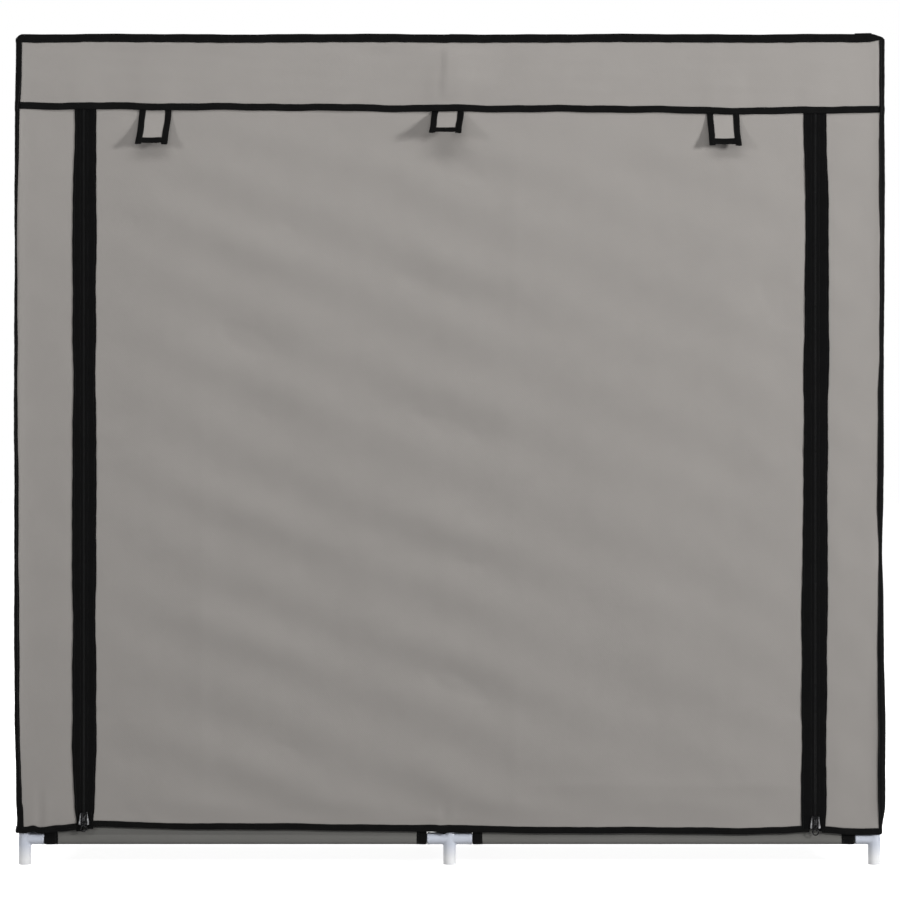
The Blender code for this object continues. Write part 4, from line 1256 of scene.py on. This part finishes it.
def lathe(shape, start, direction, length, radius, inner=None):
    """A tube from a point along an axis, with softly broken ends."""
    edge = 0.4 * MM
    profile = [(radius - edge, 0), (radius, edge), (radius, length - edge), (radius - edge, length)]
    if inner:
        profile = [(inner, 0), *profile, (inner, length)]
    turn = Vector(direction).to_track_quat("Z", "Y").to_matrix()
    angles = TAU * np.arange(TUBE_SIDES) / TUBE_SIDES
    rows = np.array([[(r * math.cos(a), r * math.sin(a), h) for a in angles] for r, h in profile])
    points = rows @ np.array(turn).T + np.array(start)
    u = np.array([h for _, h in profile])[:, None]
    v = radius * TAU * np.arange(TUBE_SIDES + 1)[None, :] / TUBE_SIDES
    shape.patch(np.moveaxis(points, -1, 0), u, v, closed=True, capped=not inner)
    if inner:
        shape.patch(np.moveaxis(points[[-1, 0]], -1, 0), u[[-1, 0]], v, closed=True)


def add_ladder(column, x, moulds):
    """Connectors of one pair of posts, and the upright and depth tubes between them."""
    plastic, tubes = Shape(), Shape()
    mirror = 1 if column != "right" else -1
    for level, z in enumerate(LEVELS):
        kind = "bottom" if level == 0 else "top" if level == len(LEVELS) - 1 else "between"
        points, faces = moulds[column == "middle", kind]
        for y, back in ((FRONT_POST_Y, 1), (REAR_POST_Y, -1)):
            placed = points * [mirror, back, 1] + [x, y, z]
            numbers = [[index + plastic.count for index in face] for face in faces]
            flat = np.zeros((sum(len(face) for face in faces), 2))
            plastic.hold(placed, numbers, flat)
            if level < len(LEVELS) - 1:
                low = z + POST_SOCKET_LENGTH - TUBE_SEAT
                high = LEVELS[level + 1] - POST_SOCKET_LENGTH + TUBE_SEAT
                lathe(tubes, (x, y, low), (0, 0, 1), high - low, TUBE_RADIUS)
        near, far = FRONT_POST_Y + SOCKET_LENGTH - TUBE_SEAT, REAR_POST_Y - SOCKET_LENGTH + TUBE_SEAT
        lathe(tubes, (x, near, z), (0, 1, 0), far - near, TUBE_RADIUS)
    connectors = plastic.piece(f"{column}_connectors", PLASTIC, sharp=70)
    settle(connectors, "frame_plastic", f"{column}_ladder")
    settle(tubes.piece(f"{column}_tubes", STEEL), "rail_steel")


def add_frame():
    """Three pairs of posts with their connectors, and the long rails pushed into them."""
    moulds = {}
    for middle_post in (False, True):
        for kind in ("bottom", "between", "top"):
            moulds[middle_post, kind] = connector(middle_post, kind)
    for column, x in (("left", -POST_X), ("middle", 0.0), ("right", POST_X)):
        add_ladder(column, x, moulds)
    for column in SIDES:
        for edge, y in (("front", FRONT_POST_Y), ("rear", REAR_POST_Y)):
            rails = Shape()
            nodes = [f"{column}_{edge}_rail_{level}" for level in range(len(LEVELS))]
            for node in nodes:
                low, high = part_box(node)
                start = (low.x, y, middle(node).z)
                lathe(rails, start, (1, 0, 0), high.x - low.x, TUBE_RADIUS, TUBE_RADIUS - TUBE_WALL)
            settle(rails.piece(f"{column}_{edge}_rails", STEEL), "rail_steel", *nodes)


def add_cover():
    """The cloth cover with its bindings, zips and straps."""
    door = add_door()
    door_hem = add_door_hem()
    header, header_hem = add_header()
    roof, seam = add_roof()
    back, back_hem = add_back()
    tapes = [add_zip_half(column, "door", True) for column in SIDES]
    for column in SIDES:
        add_zip_half(column, "strip", False)
    for column, side in SIDES.items():
        cloth, trims = add_side(column, side)
    for name in STRAP_AXES:
        add_strap(name)


# Studio

CAMERA_DISTANCE = 4.5
CAMERA_X = 0.0005
CAMERA_Z = 0.5503
LENS_MM = 135.8
SENSOR_MM = 36.0
BACKGROUND = 1.0
AMBIENT = 0.24
FLOOR_GLOW = 0.91
LIGHT_AIM = (0, 0, 0.55)
SOFTBOXES = (
    ("top_softbox", (0.0, -1.4, 2.3), (0, 0, 0.6), (1.8, 0.5), 13),
    ("right_softbox", (3.1, -2.35, 1.4), LIGHT_AIM, (0.5, 0.7), 106),
    ("left_softbox", (-2.7, -2.4, 1.4), LIGHT_AIM, (0.6, 0.8), 29),
    ("rear_left_softbox", (-2.4, 2.8, 1.6), LIGHT_AIM, (0.9, 1.2), 60),
    ("rear_right_softbox", (2.6, 2.2, 1.6), LIGHT_AIM, (0.9, 1.2), 60),
)


def add_camera():
    camera = linked("camera", bpy.data.cameras.new("camera"))
    camera.data.sensor_width = SENSOR_MM
    camera.data.lens = LENS_MM
    camera.data.clip_start = 0.1
    camera.data.clip_end = 100
    camera.location = (CAMERA_X, FRONT_Y - CAMERA_DISTANCE, CAMERA_Z)
    camera.rotation_euler = (math.pi / 2, 0, 0)
    bpy.context.scene.camera = camera


def add_softbox(name, place, aim, size, power):
    light = bpy.data.lights.new(name, "AREA")
    light.shape = "RECTANGLE"
    light.size, light.size_y = size
    light.energy = power
    lamp = linked(name, light)
    lamp.location = place
    lamp.rotation_euler = (Vector(aim) - Vector(place)).to_track_quat("-Z", "Y").to_euler()


def add_studio():
    """White surroundings, a pale floor and the softboxes."""
    world = bpy.data.worlds.new("studio")
    world.use_nodes = True
    tree = world.node_tree
    background = tree.nodes["Background"]
    background.inputs["Color"].default_value = (1, 1, 1, 1)
    seen = tree.nodes.new("ShaderNodeLightPath")
    strength = tree.nodes.new("ShaderNodeMapRange")
    strength.inputs["To Min"].default_value = AMBIENT
    strength.inputs["To Max"].default_value = BACKGROUND
    tree.links.new(seen.outputs["Is Camera Ray"], strength.inputs["Value"])
    tree.links.new(strength.outputs["Result"], background.inputs["Strength"])
    bpy.context.scene.world = world
    shape = Shape()
    reach = np.array([-30.0, 30.0])
    shape.patch((reach[None, :], reach[:, None], np.zeros((2, 2))), reach[None, :], reach[:, None])
    floor_finish = Finish("pale_floor", 0.6)
    specks = floor_finish.noise(floor_finish.coordinates(), 0.8, 4)
    floor_finish.colour(floor_finish.tint(specks, (0.86, 0.86, 0.86), (0.88, 0.88, 0.88)))
    floor_finish.shader.inputs["Emission Color"].default_value = (1, 1, 1, 1)
    floor_finish.shader.inputs["Emission Strength"].default_value = FLOOR_GLOW
    floor = shape.piece("floor", floor_finish.material, closed=False)
    floor.visible_diffuse = False
    for softbox in SOFTBOXES:
        add_softbox(*softbox)
    bpy.context.scene.view_settings.view_transform = "Standard"


add_camera()
add_frame()
for column in SIDES:
    for level in range(6):
        add_shelf(column, level)
add_cover()
for column in SIDES:
    for part, (name, voxel, worn_highlit_share) in CASTINGS.items():
        casting(f"{column}_{name}", f"{column}_{part}", voxel, worn_highlit_share)
add_studio()
